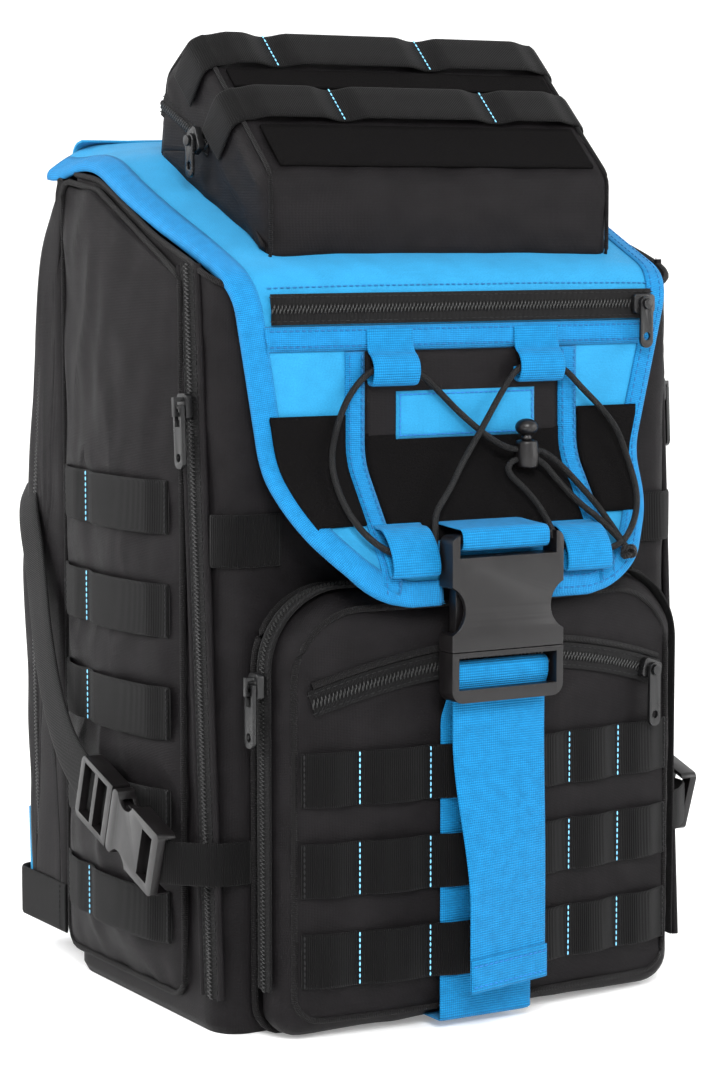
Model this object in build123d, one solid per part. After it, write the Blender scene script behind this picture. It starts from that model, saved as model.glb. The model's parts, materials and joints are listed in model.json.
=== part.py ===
from build123d import *
import math
import os

# A soft rescue and tool backpack: a main compartment with a flap lid that carries a small top pouch,
# a front pocket, rows of load-bearing webbing, zips with sliders and pulls, side-release buckles,
# padded shoulder straps and an elastic cord laced over the lid.
# Millimetres. +Z is up, the front of the pack faces -Y and the wearer's back is at +Y.
# Shapes are drawn with y = 0 near the middle of the main compartment, and every part is moved by
# frame_shift_y when it is written, so that the origin is under the middle of the pack.

frame_shift_y = -24.5
touch_gap = 0.4

# ---- main compartment and the flat compartment behind it -----------------------------------------
body_half = 127.0
main_front = -73.0
main_back = 86.0
body_corner = 16.0
shell_wall = 3.0
base_wall = 4.0
rear_half = 124.0
rear_profile = [(134, 15), (142, 200), (116, 362), (87, 397)]
rear_radii = [120, 60]

# ---- front pocket: its face is one shallow arc in plan --------------------------------------------
pocket_half = 111.0
pocket_edge_y = -98.0
pocket_face_y = -110.0
pocket_bottom = 6.0
pocket_top = 206.0
pocket_corner = 36.0
face_rise = pocket_edge_y - pocket_face_y
face_radius = (pocket_half**2 + face_rise**2) / (2 * face_rise)
face_centre_y = pocket_face_y + face_radius

# ---- side panels: each bulges outwards as one shallow arc ------------------------------------------
panel_front = -40.0
panel_back = 85.0
panel_bulge = 9.0
panel_bottom = 12.0
chord_half = (panel_back - panel_front) / 2
side_radius = (chord_half**2 + panel_bulge**2) / (2 * panel_bulge)
side_centre_x = body_half + touch_gap + panel_bulge - side_radius
side_centre_y = (panel_back + panel_front) / 2

# ---- webbing ------------------------------------------------------------------------------------------
web_width = 25.0
web_thick = 1.6
row_lift = 3.0
tack_width = 2.0
front_row_bottoms = (26.0, 67.5, 109.0)
side_row_bottoms = (36.0, 84.0, 132.0, 180.0, 228.0)
front_tacks = (-104.0, -73.0, -38.0, 38.0, 68.0, 104.0)
side_tacks = (-30, 42, 80)
strap_half = 25.0
strap_thick = 1.2
strap_x = -8.0
strap_profile = [(-76, 4.4), (-110.9, 4.4), (-110.9, 146), (-118.5, 160), (-118.5, 173), (-124.5, 173),
                 (-124.5, 165), (-121.2, 158), (-121.2, 22)]
strap_radii = [1.2, 12, 12, 2.9, 2.9, 6, 6]

# ---- lid: a sheet that follows this side profile (y, z) of its outer face --------------------------
lid_profile = [(106, 410), (46, 403.5), (-80, 345.5), (-80, 262), (-113, 216), (-117, 188)]
lid_radii = [60, 24, 28, 14]
lid_thick = 4.0
roof_drop = 6.0
lid_half = 117.0
binding_width = 11.0
panel_x = -3.0
panel_half = 53.0
loop_places = ((-56, 297, 310.6), (24, 297, 310.6), (-64, 212, 230), (29, 210, 227))

# ---- zips ------------------------------------------------------------------------------------------------
tape_half = 8.0
tape_thick = 1.2
coil_half = 2.4
coil_height = 1.0
side_zip_line = [(-66, 18), (-46, 352)]
side_slider_at = (-49.8, 288)
pouch_zip_line = [(-6, 406), (41, 427)]
face_zip_end = (95.0, 156.0)
face_zip_rise = 16.0
face_slider_x = 86.0

# ---- front buckle -------------------------------------------------------------------------------------------
buckle_half = 30.0
buckle_front = -129.0
buckle_back = -117.5
buckle_seam = 178.0
plug_bottom = 155.0
socket_top = 231.0
arm_x = 21.0
arm_front = -124.5
arm_back = -119.0

# ---- elastic cord: a hand-chosen route from its knot, through the cord lock and the four loops, and back --
cord_radius = 1.5
lock_x = 25.0
lock_y = -93.0
cord_route = [(64, -116, 222), (59, -108, 235), (52, -99.5, 247), (43, -94.5, 258), (34, -93, 264.6),
              (25, -93, 265.2), (15, -92.6, 266), (5, -90, 272), (-8, -87, 283), (-21, -87, 295),
              (-32, -86.5, 304), (-45, -86.5, 307), (-58, -86.5, 303), (-68, -86.5, 292), (-74, -86.5, 278),
              (-78, -88.5, 263), (-79, -99, 248), (-75, -108, 235), (-65, -115.4, 224.4), (-51, -117, 221),
              (-39, -115, 224.2), (-36.5, -111.5, 232), (-34, -107.5, 240), (-23, -102, 249), (-11, -94, 261), (1, -91, 275),
              (12, -89, 290), (23, -86.5, 303), (36, -86.5, 307), (50, -86.5, 303), (60, -87, 293),
              (70, -88, 284), (80, -88.5, 273), (84, -92, 258), (82, -103, 243), (74, -112, 231),
              (62, -118.5, 221), (48, -118.5, 219), (37, -118.3, 219), (27, -114.8, 225.5), (25, -107, 238),
              (19, -101, 248), (13, -95, 255), (16, -93, 260.6), (25, -93, 261.2), (33, -93.4, 260.4),
              (39.5, -98.5, 250), (47, -105, 240), (57, -111.5, 231), (64, -119, 220)]
knot_place = (65.5, -119.6, 217.6)
knot_size = (5.0, 3.4, 3.4)


def block(x0, x1, y0, y1, z0, z1):
    """A box between two corners."""
    return Pos((x0 + x1) / 2, (y0 + y1) / 2, (z0 + z1) / 2) * Box(x1 - x0, y1 - y0, z1 - z0)


def mirror_x(shape):
    """The same shape on the other side of the pack."""
    return mirror(shape, about=Plane.YZ)


def upright(x, y, radius, z0, z1):
    """A vertical cylinder."""
    return Pos(x, y, (z0 + z1) / 2) * Cylinder(radius, z1 - z0)


def side_points(points):
    """Points in the side view, from (y, z) pairs."""
    return [Vector(0, y, z) for y, z in points]


def corner_turn(points, i):
    """+1 where the line turns away from its left-hand side at point i, and -1 where it turns to it."""
    (ay, az), (by, bz), (cy, cz) = points[i - 1:i + 2]
    return 1 if (by - ay) * (cz - bz) - (bz - az) * (cy - by) > 0 else -1


def offset_line(points, distance):
    """The polyline moved sideways by distance, towards (dz, -dy) of its runs, with sharp corners."""
    normals = []
    for (ay, az), (by, bz) in zip(points, points[1:]):
        length = math.hypot(by - ay, bz - az)
        normals.append(((bz - az) / length, (ay - by) / length))
    moved = []
    for (y, z), first, second in zip(points, normals[:1] + normals, normals + normals[-1:]):
        ny = (first[0] + second[0]) / 2
        nz = (first[1] + second[1]) / 2
        size = ny * ny + nz * nz
        moved.append((y + distance * ny / size, z + distance * nz / size))
    return moved


def ribbon(points, radii, low, high, x0, x1):
    """A strip between two parallel curves of a side-view polyline, from x0 to x1."""
    sides = []
    for distance in (low, high):
        bends = [max(r + distance * corner_turn(points, i + 1), 0.4) for i, r in enumerate(radii)]
        moved = side_points(offset_line(points, distance))
        sides.append(FilletPolyline(*moved, radius=bends) if bends else Line(*moved))
    first, second = sides
    ends = [Line(first @ 0, second @ 0).edge(), Line(first @ 1, second @ 1).edge()]
    outline = Wire([*first.edges(), *second.edges(), *ends])
    strip = extrude(Face(outline), (x1 - x0) / 2, dir=(1, 0, 0), both=True)
    return Pos((x0 + x1) / 2, 0, 0) * strip


def on_lid(low, high, x0, x1, z0=180.0, z1=500.0):
    """A layer from low to high millimetres off the lid's outer face."""
    return ribbon(lid_profile, lid_radii, low, high, x0, x1) & block(x0 - 1, x1 + 1, -300, 300, z0, z1)


def on_back(low, high, x0, x1, z0, z1):
    """A layer from low to high millimetres off the rear compartment's back."""
    return ribbon(rear_profile, rear_radii, low, high, x0, x1) & block(x0 - 1, x1 + 1, 95, 300, z0, z1)


def on_pocket(low, high, x0, x1, z0, z1):
    """A layer from low to high millimetres off the curved face of the front pocket."""
    ring = upright(0, face_centre_y, face_radius + high, z0, z1)
    ring -= upright(0, face_centre_y, face_radius + low, z0, z1)
    return ring & block(x0, x1, -200, -60, z0, z1)


def on_side(low, high, y0, y1, z0, z1):
    """A layer from low to high millimetres off the bulging left side panel."""
    ring = upright(-side_centre_x, side_centre_y, side_radius + high, z0, z1)
    ring -= upright(-side_centre_x, side_centre_y, side_radius + low, z0, z1)
    return ring & block(-200, -100, y0, y1, z0, z1)


def rounded_column(half, y0, y1, radius, z0, z1):
    """An upright column with a rounded rectangular plan."""
    plan = Pos(0, (y0 + y1) / 2, z0) * RectangleRounded(2 * half, y1 - y0, radius)
    return extrude(plan, z1 - z0)


def under_lid(drop):
    """All the space more than drop millimetres below the lid's outer face."""
    roof = offset_line(lid_profile[:4], -drop)[:3]
    roof = [(160, roof[0][1] + 5), *roof, (roof[2][0], -10)]
    curve = FilletPolyline(*side_points(roof), radius=[2, lid_radii[0] - drop, lid_radii[1] - drop])
    closing = Polyline(curve @ 1, (0, 160, -10), curve @ 0)
    return extrude(Face(Wire([*curve.edges(), *closing.edges()])), 200, dir=(1, 0, 0), both=True)


def main_shell():
    """The main compartment: a tub with a sloping rim, open at the top under the lid."""
    outer = rounded_column(body_half, main_front, main_back, body_corner, 0, 420) & under_lid(roof_drop)
    outer = fillet(outer.faces().sort_by(Axis.Z)[0].edges(), 2.5)
    return outer - rounded_column(body_half - shell_wall, main_front + shell_wall, main_back - shell_wall,
                                  body_corner - shell_wall, base_wall, 421)


def base_board():
    """The stiff board that lies on the floor of the main compartment."""
    return rounded_column(body_half - 6, main_front + 6, main_back - 10, 20, base_wall + 0.2, base_wall + 3)


def frame_sheet():
    """The stiff sheet inside the back wall of the main compartment."""
    back = main_back - shell_wall - touch_gap
    return block(-100, 100, back - 2, back, base_wall + touch_gap, 380)


def rear_compartment():
    """The zipped flat compartment behind the main one; its top leans forwards."""
    front = main_back + touch_gap
    curve = FilletPolyline(*side_points(rear_profile), radius=rear_radii)
    closing = Polyline(curve @ 1, (0, front, rear_profile[-1][1]), (0, front, rear_profile[0][1]), curve @ 0)
    solid = extrude(Face(Wire([*curve.edges(), *closing.edges()])), rear_half, dir=(1, 0, 0), both=True)
    rim = [e for e in solid.edges() if abs(e.center().X) > rear_half - 0.1 and e.center().Y > 112]
    room = Polyline(*side_points([(front + 3, 19), (130, 19), (138, 200), (113, 360), (front + 3, 388)]), close=True)
    return fillet(rim, 8) - extrude(Face(Wire(room.edges())), rear_half - 9, dir=(1, 0, 0), both=True)


def rear_zip_tape():
    """The zip tape down the two sides of the flat compartment."""
    line = [(122, 60), (126, 200), (111, 320)]
    tape = ribbon(line, [200], -6, 6, -rear_half - 0.4 - tape_thick, -rear_half - 0.4)
    coil = ribbon(line, [200], -2, 2, -rear_half - 0.4 - tape_thick - coil_height, -rear_half - 0.4 - tape_thick)
    left = tape + coil
    return Compound([left, mirror_x(left)])


def back_pads():
    """The two padded columns that rest on the wearer's back."""
    pad = on_back(0.4, 12, 16, 96, 150, 325)
    return Compound([pad, mirror_x(pad)])


def lumbar_pad():
    """The padded roll across the small of the back."""
    return on_back(0.4, 15, -56, 56, 44, 140)


def pocket_plate(grow, y0, y1, bottom):
    """The front pocket's outline in front view, grown by grow, as an upright plate."""
    plate = block(-pocket_half - grow, pocket_half + grow, y0, y1, bottom, pocket_top + grow)
    tops = [e for e in plate.edges().filter_by(Axis.Y) if e.center().Z > pocket_top + grow - 1]
    return fillet(tops, pocket_corner + grow)


def front_pocket():
    """The front pocket, with its curved face and rounded top corners, and a hollow inside."""
    plate = pocket_plate(0, -140, main_front - touch_gap, pocket_bottom)
    solid = plate & upright(0, face_centre_y, face_radius, 0, 300)
    hollow = pocket_plate(-3, -140, main_front - touch_gap - 3, pocket_bottom + 3)
    hollow = hollow & upright(0, face_centre_y, face_radius - 3, 0, 300)
    return solid - hollow


def side_panel():
    """The padded, bulging panel on the left side, between the rear seam and the side zip."""
    solid = upright(-side_centre_x, side_centre_y, side_radius, panel_bottom, 400)
    solid = solid & block(-200, -body_half - touch_gap, panel_front, panel_back, panel_bottom, 400)
    return solid & under_lid(roof_drop + 3)


def side_zip_tape():
    """The zip tape down the left side, with the raised coil along its middle."""
    face = -body_half - touch_gap
    tape = ribbon(side_zip_line, [], -tape_half, tape_half, face - tape_thick, face)
    coil = ribbon(side_zip_line, [], -coil_half, coil_half, face - tape_thick - coil_height, face - tape_thick)
    tape = tape + coil
    return tape - block(-200, 0, panel_front - 0.3, 300, 0, 500)


def pocket_zip_tape():
    """The zip tape up one side of the front pocket, over its top and down the other side."""
    tape = pocket_plate(0.4 + tape_thick, -93, -81, 24) - pocket_plate(0.4, -94, -80, 0)
    coil = pocket_plate(0.4 + tape_thick + coil_height, -89, -85, 24)
    coil -= pocket_plate(0.4 + tape_thick, -94, -80, 0)
    return tape + coil


def face_zip_circle():
    """Centre, radius and axis of the circle that the arched zip follows on the pocket's face."""
    end_x, end_z = face_zip_end
    edge_y = face_centre_y - math.sqrt(face_radius**2 - end_x**2)
    low = Vector(0, edge_y, end_z)
    top = Vector(0, pocket_face_y, end_z + face_zip_rise)
    rise = top - low
    radius = (end_x**2 + rise.length**2) / (2 * rise.length)
    return top - rise.normalized() * radius, radius, Vector(1, 0, 0).cross(rise.normalized())


def face_zip_tape():
    """The arched zip tape on the pocket's face."""
    centre, radius, axis = face_zip_circle()
    plane = Plane(origin=centre, x_dir=(1, 0, 0), z_dir=axis)

    def arch(low, high, half):
        """The part of a layer on the face within half of the arched line."""
        band = on_pocket(low, high, -face_zip_end[0], face_zip_end[0], face_zip_end[1] - 14, 190)
        return band & (plane * (Cylinder(radius + half, 80) - Cylinder(radius - half, 80)))

    return arch(0.4, 0.4 + tape_thick, 6.5) + arch(0.4 + tape_thick, 0.4 + tape_thick + coil_height, 2.2)


def lid_outline(inset):
    """The lid's outline in front view, inset by some millimetres, as a deep plate."""
    points = [(-lid_half, 600), (-lid_half, 350), (-100, 238), (-66, 199), (62, 199), (90, 238),
              (lid_half, 350), (lid_half, 600)]
    corners = FilletPolyline(*[Vector(x, 0, z) for x, z in points], radius=[60, 40, 26, 26, 40, 60])
    outline = Face(Wire([*corners.edges(), Line(corners @ 1, corners @ 0).edge()]))
    if inset:
        outline = offset(outline, -inset, kind=Kind.INTERSECTION).face()
    return extrude(outline, 300, dir=(0, 1, 0), both=True)


def lid_panel():
    """The lid sheet, with a notch in its lower edge behind the front buckle."""
    sheet = on_lid(-lid_thick, 0, -lid_half, lid_half) & lid_outline(0)
    return sheet - block(strap_x - buckle_half - 1, strap_x + buckle_half + 1, -200, -90, 150, 212)


def lid_binding():
    """The binding tape along the two sides and the lower edge of the lid."""
    tape = on_lid(0.3, 1.5, -lid_half, lid_half) & lid_outline(0)
    inner = lid_outline(binding_width) + block(-60, 60, -300, 300, 560, 640)
    tape -= inner & block(-200, 200, -300, 300, 100, 700)
    return tape - block(strap_x - buckle_half - 1, strap_x + buckle_half + 1, -200, -90, 150, 212)


def in_binding(shape):
    """The part of a layer that lies inside the lid's binding."""
    return shape & lid_outline(binding_width + 0.4)


def lid_zip_tape():
    """The zip tape across the top of the lid's front, with its coil."""
    tape = in_binding(on_lid(0.3, 0.3 + tape_thick, -110, 110, 325, 339))
    coil = in_binding(on_lid(0.3 + tape_thick, 1.3 + tape_thick, -104, 104, 329.6, 334.4))
    return tape + coil


def lid_band():
    """The webbing band under the lid zip, which the two upper cord loops hang from."""
    return in_binding(on_lid(0.3, 1.7, -110, 110, 313, 324.5))


def lid_centre_panel():
    """The dark panel in the middle of the lid's front, above the buckle's webbing."""
    return on_lid(0.3, 1.5, panel_x - panel_half, panel_x + panel_half, 226, 312.6)


def lid_upright_bindings():
    """The two upright binding tapes beside the dark panel."""
    inner = panel_half + 0.4
    left = in_binding(on_lid(0.3, 1.9, panel_x - inner - 10, panel_x - inner, 204, 312.6))
    right = in_binding(on_lid(0.3, 1.9, panel_x + inner, panel_x + inner + 10, 204, 312.6))
    return Compound([left, right])


def side_strips():
    """The two dark strips between the upright bindings and the lid's edge binding."""
    inner = panel_half + 10.8
    left = in_binding(on_lid(2.4, 3.6, -115, panel_x - inner, 234, 284))
    right = in_binding(on_lid(2.4, 3.6, panel_x + inner, 115, 234, 284))
    return Compound([left, right])


def lid_label():
    """The blank label on the dark panel."""
    return on_lid(1.9, 2.9, -40, 36, 272, 294)


def cord_loop(x0, z0, z1):
    """One flat webbing loop, 25 mm wide, that stands on the lid and lets the cord through."""
    outer = on_lid(2.0, 10.6, x0, x0 + web_width, z0, z1)
    inner = on_lid(3.2, 9.4, x0 - 1, x0 + web_width + 1, z0 + 1.2, z1 - 1.2)
    return outer - inner


def cord_loops():
    """The four cord loops."""
    return Compound([cord_loop(*place) for place in loop_places])


def cord_radii(points):
    """A tangent arc's radius for every inner point of a route."""
    radii = []
    for a, b, c in zip(points, points[1:], points[2:]):
        before, after = b - a, c - b
        half_turn = math.radians(before.get_angle(after)) / 2
        radii.append(0.45 * min(before.length, after.length) / math.tan(half_turn))
    return radii


def elastic_cord():
    """The elastic cord as a tube along its route."""
    points = [Vector(*p) for p in cord_route]
    radii = cord_radii(points)
    print("cord radii from", round(min(radii), 1), "to", round(max(radii), 1))
    path = FilletPolyline(*points, radius=radii)
    print("cord length", round(path.length, 1))
    return sweep(Plane(origin=path @ 0, z_dir=path % 0) * Circle(cord_radius), path=path)


def cord_knot():
    """The knot that ties the cord's two ends together, closed round both of them."""
    return Pos(knot_place) * scale(Sphere(1), by=knot_size) - elastic_cord()


def cord_lock_body():
    """The barrel of the cord lock, with a cross slot for the two cords and a bore for the button."""
    barrel = upright(lock_x, lock_y, 6, 256.5, 271)
    barrel = fillet(barrel.edges(), 1)
    barrel -= block(lock_x - 10, lock_x + 10, lock_y - 2.3, lock_y + 2.3, 258.8, 267.6)
    return barrel - upright(lock_x, lock_y, 3, 268.3, 272)


def cord_lock_button():
    """The sprung button of the cord lock: a short stem in the bore and a domed head."""
    head = fillet(upright(lock_x, lock_y, 5.2, 273.6, 279).edges(), 2)
    return head + upright(lock_x, lock_y, 2.94, 270.8, 274)


def lid_pouch():
    """The small pouch on top of the lid, hollow, with a sloping top."""
    corners = [(-61, 354.7), (-61, 393), (12, 460), (42, 441), (49, 404.4), (46, 404)]
    outline = Polyline(*side_points(corners), close=True)
    solid = extrude(Face(Wire(outline.edges())), 95, dir=(1, 0, 0), both=True)
    solid = fillet([e for e in solid.edges().filter_by(Axis.X) if e.center().Z > 380 and e.center().Y < 45], 6)
    room = Polyline(*side_points([(-57, 361), (-57, 389), (11, 451), (38, 436), (44, 408)]), close=True)
    return solid - extrude(Face(Wire(room.edges())), 91, dir=(1, 0, 0), both=True)


def pouch_top(low, high, half, from_front, to_front):
    """A layer on the pouch's sloping top, between two distances from its front edge."""
    slope = Vector(0, 73, 67).normalized()
    origin = Vector(0, -61, 393)
    up = Vector(0, -67, 73).normalized()
    middle = origin + slope * ((from_front + to_front) / 2) + up * ((low + high) / 2)
    plate = Box(2 * half, to_front - from_front, high - low)
    return Plane(origin=middle, x_dir=(1, 0, 0), z_dir=up) * plate


def pouch_webbing():
    """The two webbing rows across the pouch's top, held off it by their stitched tacks."""
    rows = []
    for start, tacks in ((35, (-40, 44)), (73, (-60, 24))):
        row = pouch_top(2.4, 3.8, 96, start, start + 22)
        for x in (-94.5, *tacks, 94.5):
            row += Pos(x, 0, 0) * pouch_top(0.3, 2.4, 1, start, start + 22)
        rows.append(row)
    return Compound(rows)


def pouch_strips():
    """The two hook-and-loop strips between the webbing rows."""
    return Compound([pouch_top(0.3, 1.5, 86, 5, 32), pouch_top(0.3, 1.5, 88, 59, 71)])


def pouch_zip_tape():
    """The zip tape on the pouch's left side, with its coil."""
    tape = ribbon(pouch_zip_line, [], -6, 6, -95.4 - tape_thick, -95.4)
    return tape + ribbon(pouch_zip_line, [], -2, 2, -95.4 - tape_thick - coil_height, -95.4 - tape_thick)


def zip_slider():
    """A zip slider at the origin: travel along Z, outwards along -Y. Its bridge carries the pull."""
    wedge = block(-4.5, 4.5, -3.4, 0, -6, 6)
    wedge = fillet(wedge.edges().filter_by(Axis.Y), 2)
    bridge = block(-1.2, 1.2, -7.8, -3.4, -4.4, 4.4) - block(-2, 2, -6.4, -3.4, -2.4, 2.4)
    return wedge + bridge


def zip_pull():
    """The flat pull on a slider's bridge, turning about X at (0, -4.9, 0) and hanging down."""
    bar = Pos(0, -4.9, 0) * Rot(0, 90, 0) * Cylinder(0.9, 7)
    cheeks = block(-4, 4, -5.8, -4.0, -28, 1) - block(-2.3, 2.3, -9, 0, -9, 2)
    cheeks = fillet(cheeks.edges().filter_by(Axis.Y).group_by(Axis.Z)[0], 3.4)
    return cheeks + bar - Pos(0, -4.9, -23) * Rot(90, 0, 0) * Cylinder(2, 8)


def level_slider():
    """A slider for a level zip: travel along X, outwards along -Y, with a headed post."""
    wedge = block(-6, 6, -3.4, 0, -4.5, 4.5)
    wedge = fillet(wedge.edges().filter_by(Axis.Y), 2)
    post = Pos(0, -4.6, 0) * Rot(90, 0, 0) * Cylinder(1.3, 2.6)
    return wedge + post + Pos(0, -6.5, 0) * Rot(90, 0, 0) * Cylinder(2.6, 1.2)


def level_pull(length=27.0):
    """The pull of a level zip: a flat plate on the headed post, turning about Y."""
    plate = block(-3.6, 3.6, -5.5, -3.9, -length, 0)
    plate = fillet(plate.edges().filter_by(Axis.Y).group_by(Axis.Z)[0], 3.4)
    plate += Pos(0, -4.7, 0) * Rot(90, 0, 0) * Cylinder(3.6, 1.6)
    plate -= Pos(0, -4.7, 0) * Rot(90, 0, 0) * Cylinder(1.35, 4)
    return plate - Pos(0, -4.7, 5.5 - length) * Rot(90, 0, 0) * Cylinder(1.9, 4)


def on_left_face(x, y, z, lean):
    """A place on the pack's left side, for parts drawn with their outside along -Y."""
    return Pos(x, y, z) * Rot(-lean, 0, 0) * Rot(0, 0, -90)


def side_slider_place():
    """The left side zip's slider: it rides over the coil, in line with the zip."""
    (y0, z0), (y1, z1) = side_zip_line
    lean = math.degrees(math.atan2(y1 - y0, z1 - z0))
    return on_left_face(-body_half - touch_gap - tape_thick - coil_height - 0.3, *side_slider_at, lean)


def pocket_slider_place():
    """The front pocket's slider, on the left side of the pocket."""
    return on_left_face(-pocket_half - 0.4 - tape_thick - coil_height - 0.3, -87, 164, 0)


def pouch_slider_place():
    """The pouch zip's slider, at the lower, front end of the zip."""
    return on_left_face(-95.4 - tape_thick - coil_height - 0.3, 0, 408.7, 0) * Rot(0, 66, 0)


def pouch_pull_place():
    """The pouch zip's pull hangs straight down from its slider."""
    return on_left_face(-95.4 - tape_thick - coil_height - 0.3, 0, 408.7, 0)


def face_slider_place():
    """The arched zip's slider, near its right end, facing straight out of the pocket."""
    centre, radius, axis = face_zip_circle()
    turn = math.asin(face_slider_x / radius)
    up = axis.cross(Vector(1, 0, 0))
    spot = centre + Vector(face_slider_x, 0, 0) + up * (radius * math.cos(turn))
    lean = math.asin(face_slider_x / face_radius)
    outwards = Vector(math.sin(lean), -math.cos(lean), 0)
    return Pos(*(spot + outwards * (0.7 + tape_thick + coil_height))) * Rot(0, 0, math.degrees(lean))


def face_slider_turn():
    """How far the arched zip's slider is turned to follow the arch."""
    return Rot(0, math.degrees(math.asin(face_slider_x / face_zip_circle()[1])), 0)


def lid_slider_place():
    """The lid zip's slider, at its right end."""
    return Pos(97, lid_profile[2][0] - 0.3 - tape_thick - coil_height - 0.3, 332)


def front_rows():
    """The three webbing rows on the front pocket, each held off the face by its stitched tacks."""
    rows = []
    for z0 in front_row_bottoms:
        row = on_pocket(row_lift, row_lift + web_thick, -105, 105, z0, z0 + web_width)
        for x in front_tacks:
            row += on_pocket(0.3, row_lift, x - tack_width / 2, x + tack_width / 2, z0, z0 + web_width)
        rows.append(row)
    return Compound(rows)


def side_rows():
    """The webbing rows on the left side panel."""
    rows = []
    for z0 in side_row_bottoms:
        row = on_side(row_lift, row_lift + web_thick, side_tacks[0] - 1, side_tacks[-1] + 1, z0, z0 + web_width)
        for y in side_tacks:
            row += on_side(0.3, row_lift, y - tack_width / 2, y + tack_width / 2, z0, z0 + web_width)
        rows.append(row)
    return Compound(rows)


def closing_strap():
    """The closing strap: sewn under the pocket, up its face, round the buckle's bar and down again."""
    x0, x1 = strap_x - strap_half, strap_x + strap_half
    strap = ribbon(strap_profile, strap_radii, -strap_thick / 2, strap_thick / 2, x0, x1)
    hem = block(x0, x1, -121.2 - 1.5 * strap_thick, -121.2 - strap_thick / 2, 22, 36)
    return strap + hem


def buckle_plug():
    """The plug half of the front buckle: side rails, end bar, webbing bar, cross wall and guide."""
    x0, x1 = strap_x - buckle_half, strap_x + buckle_half
    frame = block(x0, x1, buckle_front, buckle_back, plug_bottom, buckle_seam)
    frame = fillet(frame.edges().filter_by(Axis.Y).group_by(Axis.Z)[0], 6)
    frame -= block(x0 + 3.6, x1 - 3.6, -140, -100, 161, 175.6)
    frame -= block(x0 + 3.6, x1 - 3.6, -123.7, -100, 150, 175.6)
    bar = Pos(strap_x, -121.5, 170) * Rot(0, 90, 0) * Cylinder(1.7, 53)
    guide = block(strap_x - 5, strap_x + 5, arm_front, arm_back, buckle_seam - 0.5, 207)
    return frame + bar + guide


def buckle_arm(side):
    """One sprung arm of the plug half; side is -1 on the left and 1 on the right."""
    x = strap_x + side * arm_x
    stem = block(x - 2.2, x + 2.2, arm_front, arm_back, buckle_seam + 0.5, 208)
    paddle = Pos(x + side * 0.8, (arm_front + arm_back) / 2, 197) * Rot(90, 0, 0) * Cylinder(11, 5.5)
    paddle = paddle & block(x - 4.6, x + 4.6, -140, -100, 186, 208)
    return stem + paddle


def buckle_socket():
    """The socket half of the front buckle, on the lid: open below and behind, with side notches."""
    x0, x1 = strap_x - buckle_half, strap_x + buckle_half
    shell = block(x0, x1, buckle_front, buckle_back, buckle_seam + touch_gap, socket_top)
    shell = fillet(shell.edges().filter_by(Axis.Y).group_by(Axis.Z)[-1], 4)
    shell -= block(x0 + 2, x1 - 2, -126.5, -100, 150, 216)
    shell -= block(x0 + 4, x1 - 4, -140, -100, 221, 227)
    shell -= block(x0 + 4, x1 - 4, -140, -125.4, 226, 240)
    for side in (-1, 1):
        notch = Pos(strap_x + side * (buckle_half + 5), -120, 197) * Rot(90, 0, 0) * Cylinder(12, 40)
        shell -= notch
    return shell


def socket_loop():
    """The webbing loop that holds the socket half to the lid."""
    line = [(-95, 246.4), (-100.6, 238.6), (-117, 233.2), (-126.6, 233.2), (-126.6, 224), (-110.6, 224)]
    return ribbon(line, [6, 10, 3, 3], -0.6, 0.6, strap_x - 24, strap_x + 24)


def side_strap():
    """The lower compression strap on the left side, from the rear edge down to the buckle."""
    run = ribbon([(138, 247), (50, 113.1), (2, 97.5)], [14], -web_width / 2, web_width / 2, -146.8, -145.2)
    seam = ribbon([(138, 247), (128, 231.8)], [], -web_width / 2, web_width / 2, -145.2, -rear_half - 2.8)
    return run + seam


def side_strap_front():
    """The short end of the compression strap, from the buckle in to the front corner."""
    line = [(-46, -146), (-56, -146), (-74.6, -130), (-74.6, -112)]
    return Rot(0, 90, 0) * ribbon(line, [6, 4], -0.8, 0.8, -91, -71)


def side_buckle_place():
    """The left side buckle lies along its strap; it is drawn with its plug end up and front to -Y."""
    return Pos(-147, -15, 92) * Rot(-72, 0, 0) * Rot(0, 0, -90)


def side_plug():
    """The plug half of the side buckle: the ladder frame, its bars and the middle guide."""
    frame = block(-16, 16, -4.5, 4.5, 8, 42)
    frame = fillet(frame.edges().filter_by(Axis.Y).group_by(Axis.Z)[-1], 4)
    frame -= block(-13, 13, -10, 10, 13, 23)
    frame -= block(-13, 13, -10, 10, 26.5, 38)
    frame -= block(-13, 13, -0.6, 10, 12.9, 50)
    return frame + block(-3, 3, -2, 2, -12, 8.5)


def side_arm(side):
    """One sprung arm of the side buckle's plug."""
    stem = block(side * 9.5 - 1.6, side * 9.5 + 1.6, -2, 2, -14, 7.5)
    return stem + block(side * 10 - 2.6, side * 10 + 2.6, -2, 2, -14, -5)


def side_socket():
    """The socket half of the side buckle."""
    shell = block(-16, 16, -4.5, 4.5, -42, 7.4)
    shell = fillet(shell.edges().filter_by(Axis.Y), 3)
    shell -= block(-13, 13, -2.5, 2.5, -18, 12)
    shell -= block(-11.5, 11.5, -10, 10, -36, -26)
    shell -= block(-14, 14, -0.6, 10, -50, -26)
    for side in (-1, 1):
        shell -= Pos(side * 20, 0, -6) * Rot(90, 0, 0) * Cylinder(9, 20)
    return shell


def upper_strap():
    """The short upper compression strap where it turns the left front corner."""
    grow = 0.4 + web_thick
    band = rounded_column(body_half + grow, main_front - grow, main_back, body_corner + grow, 216, 240)
    band -= rounded_column(body_half + 0.4, main_front - 0.4, main_back, body_corner + 0.4, 210, 250)
    return band & block(-200, -92, -100, -66, 200, 250)


def strap_anchor():
    """The webbing wing that ties the shoulder strap's lower end to the left bottom corner."""
    flat = block(-rear_half - 2, -rear_half - 0.4, 92, 146, 16, 41)
    return flat + block(-rear_half - 2, -60, 144.4, 146, 16, 41)


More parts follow.
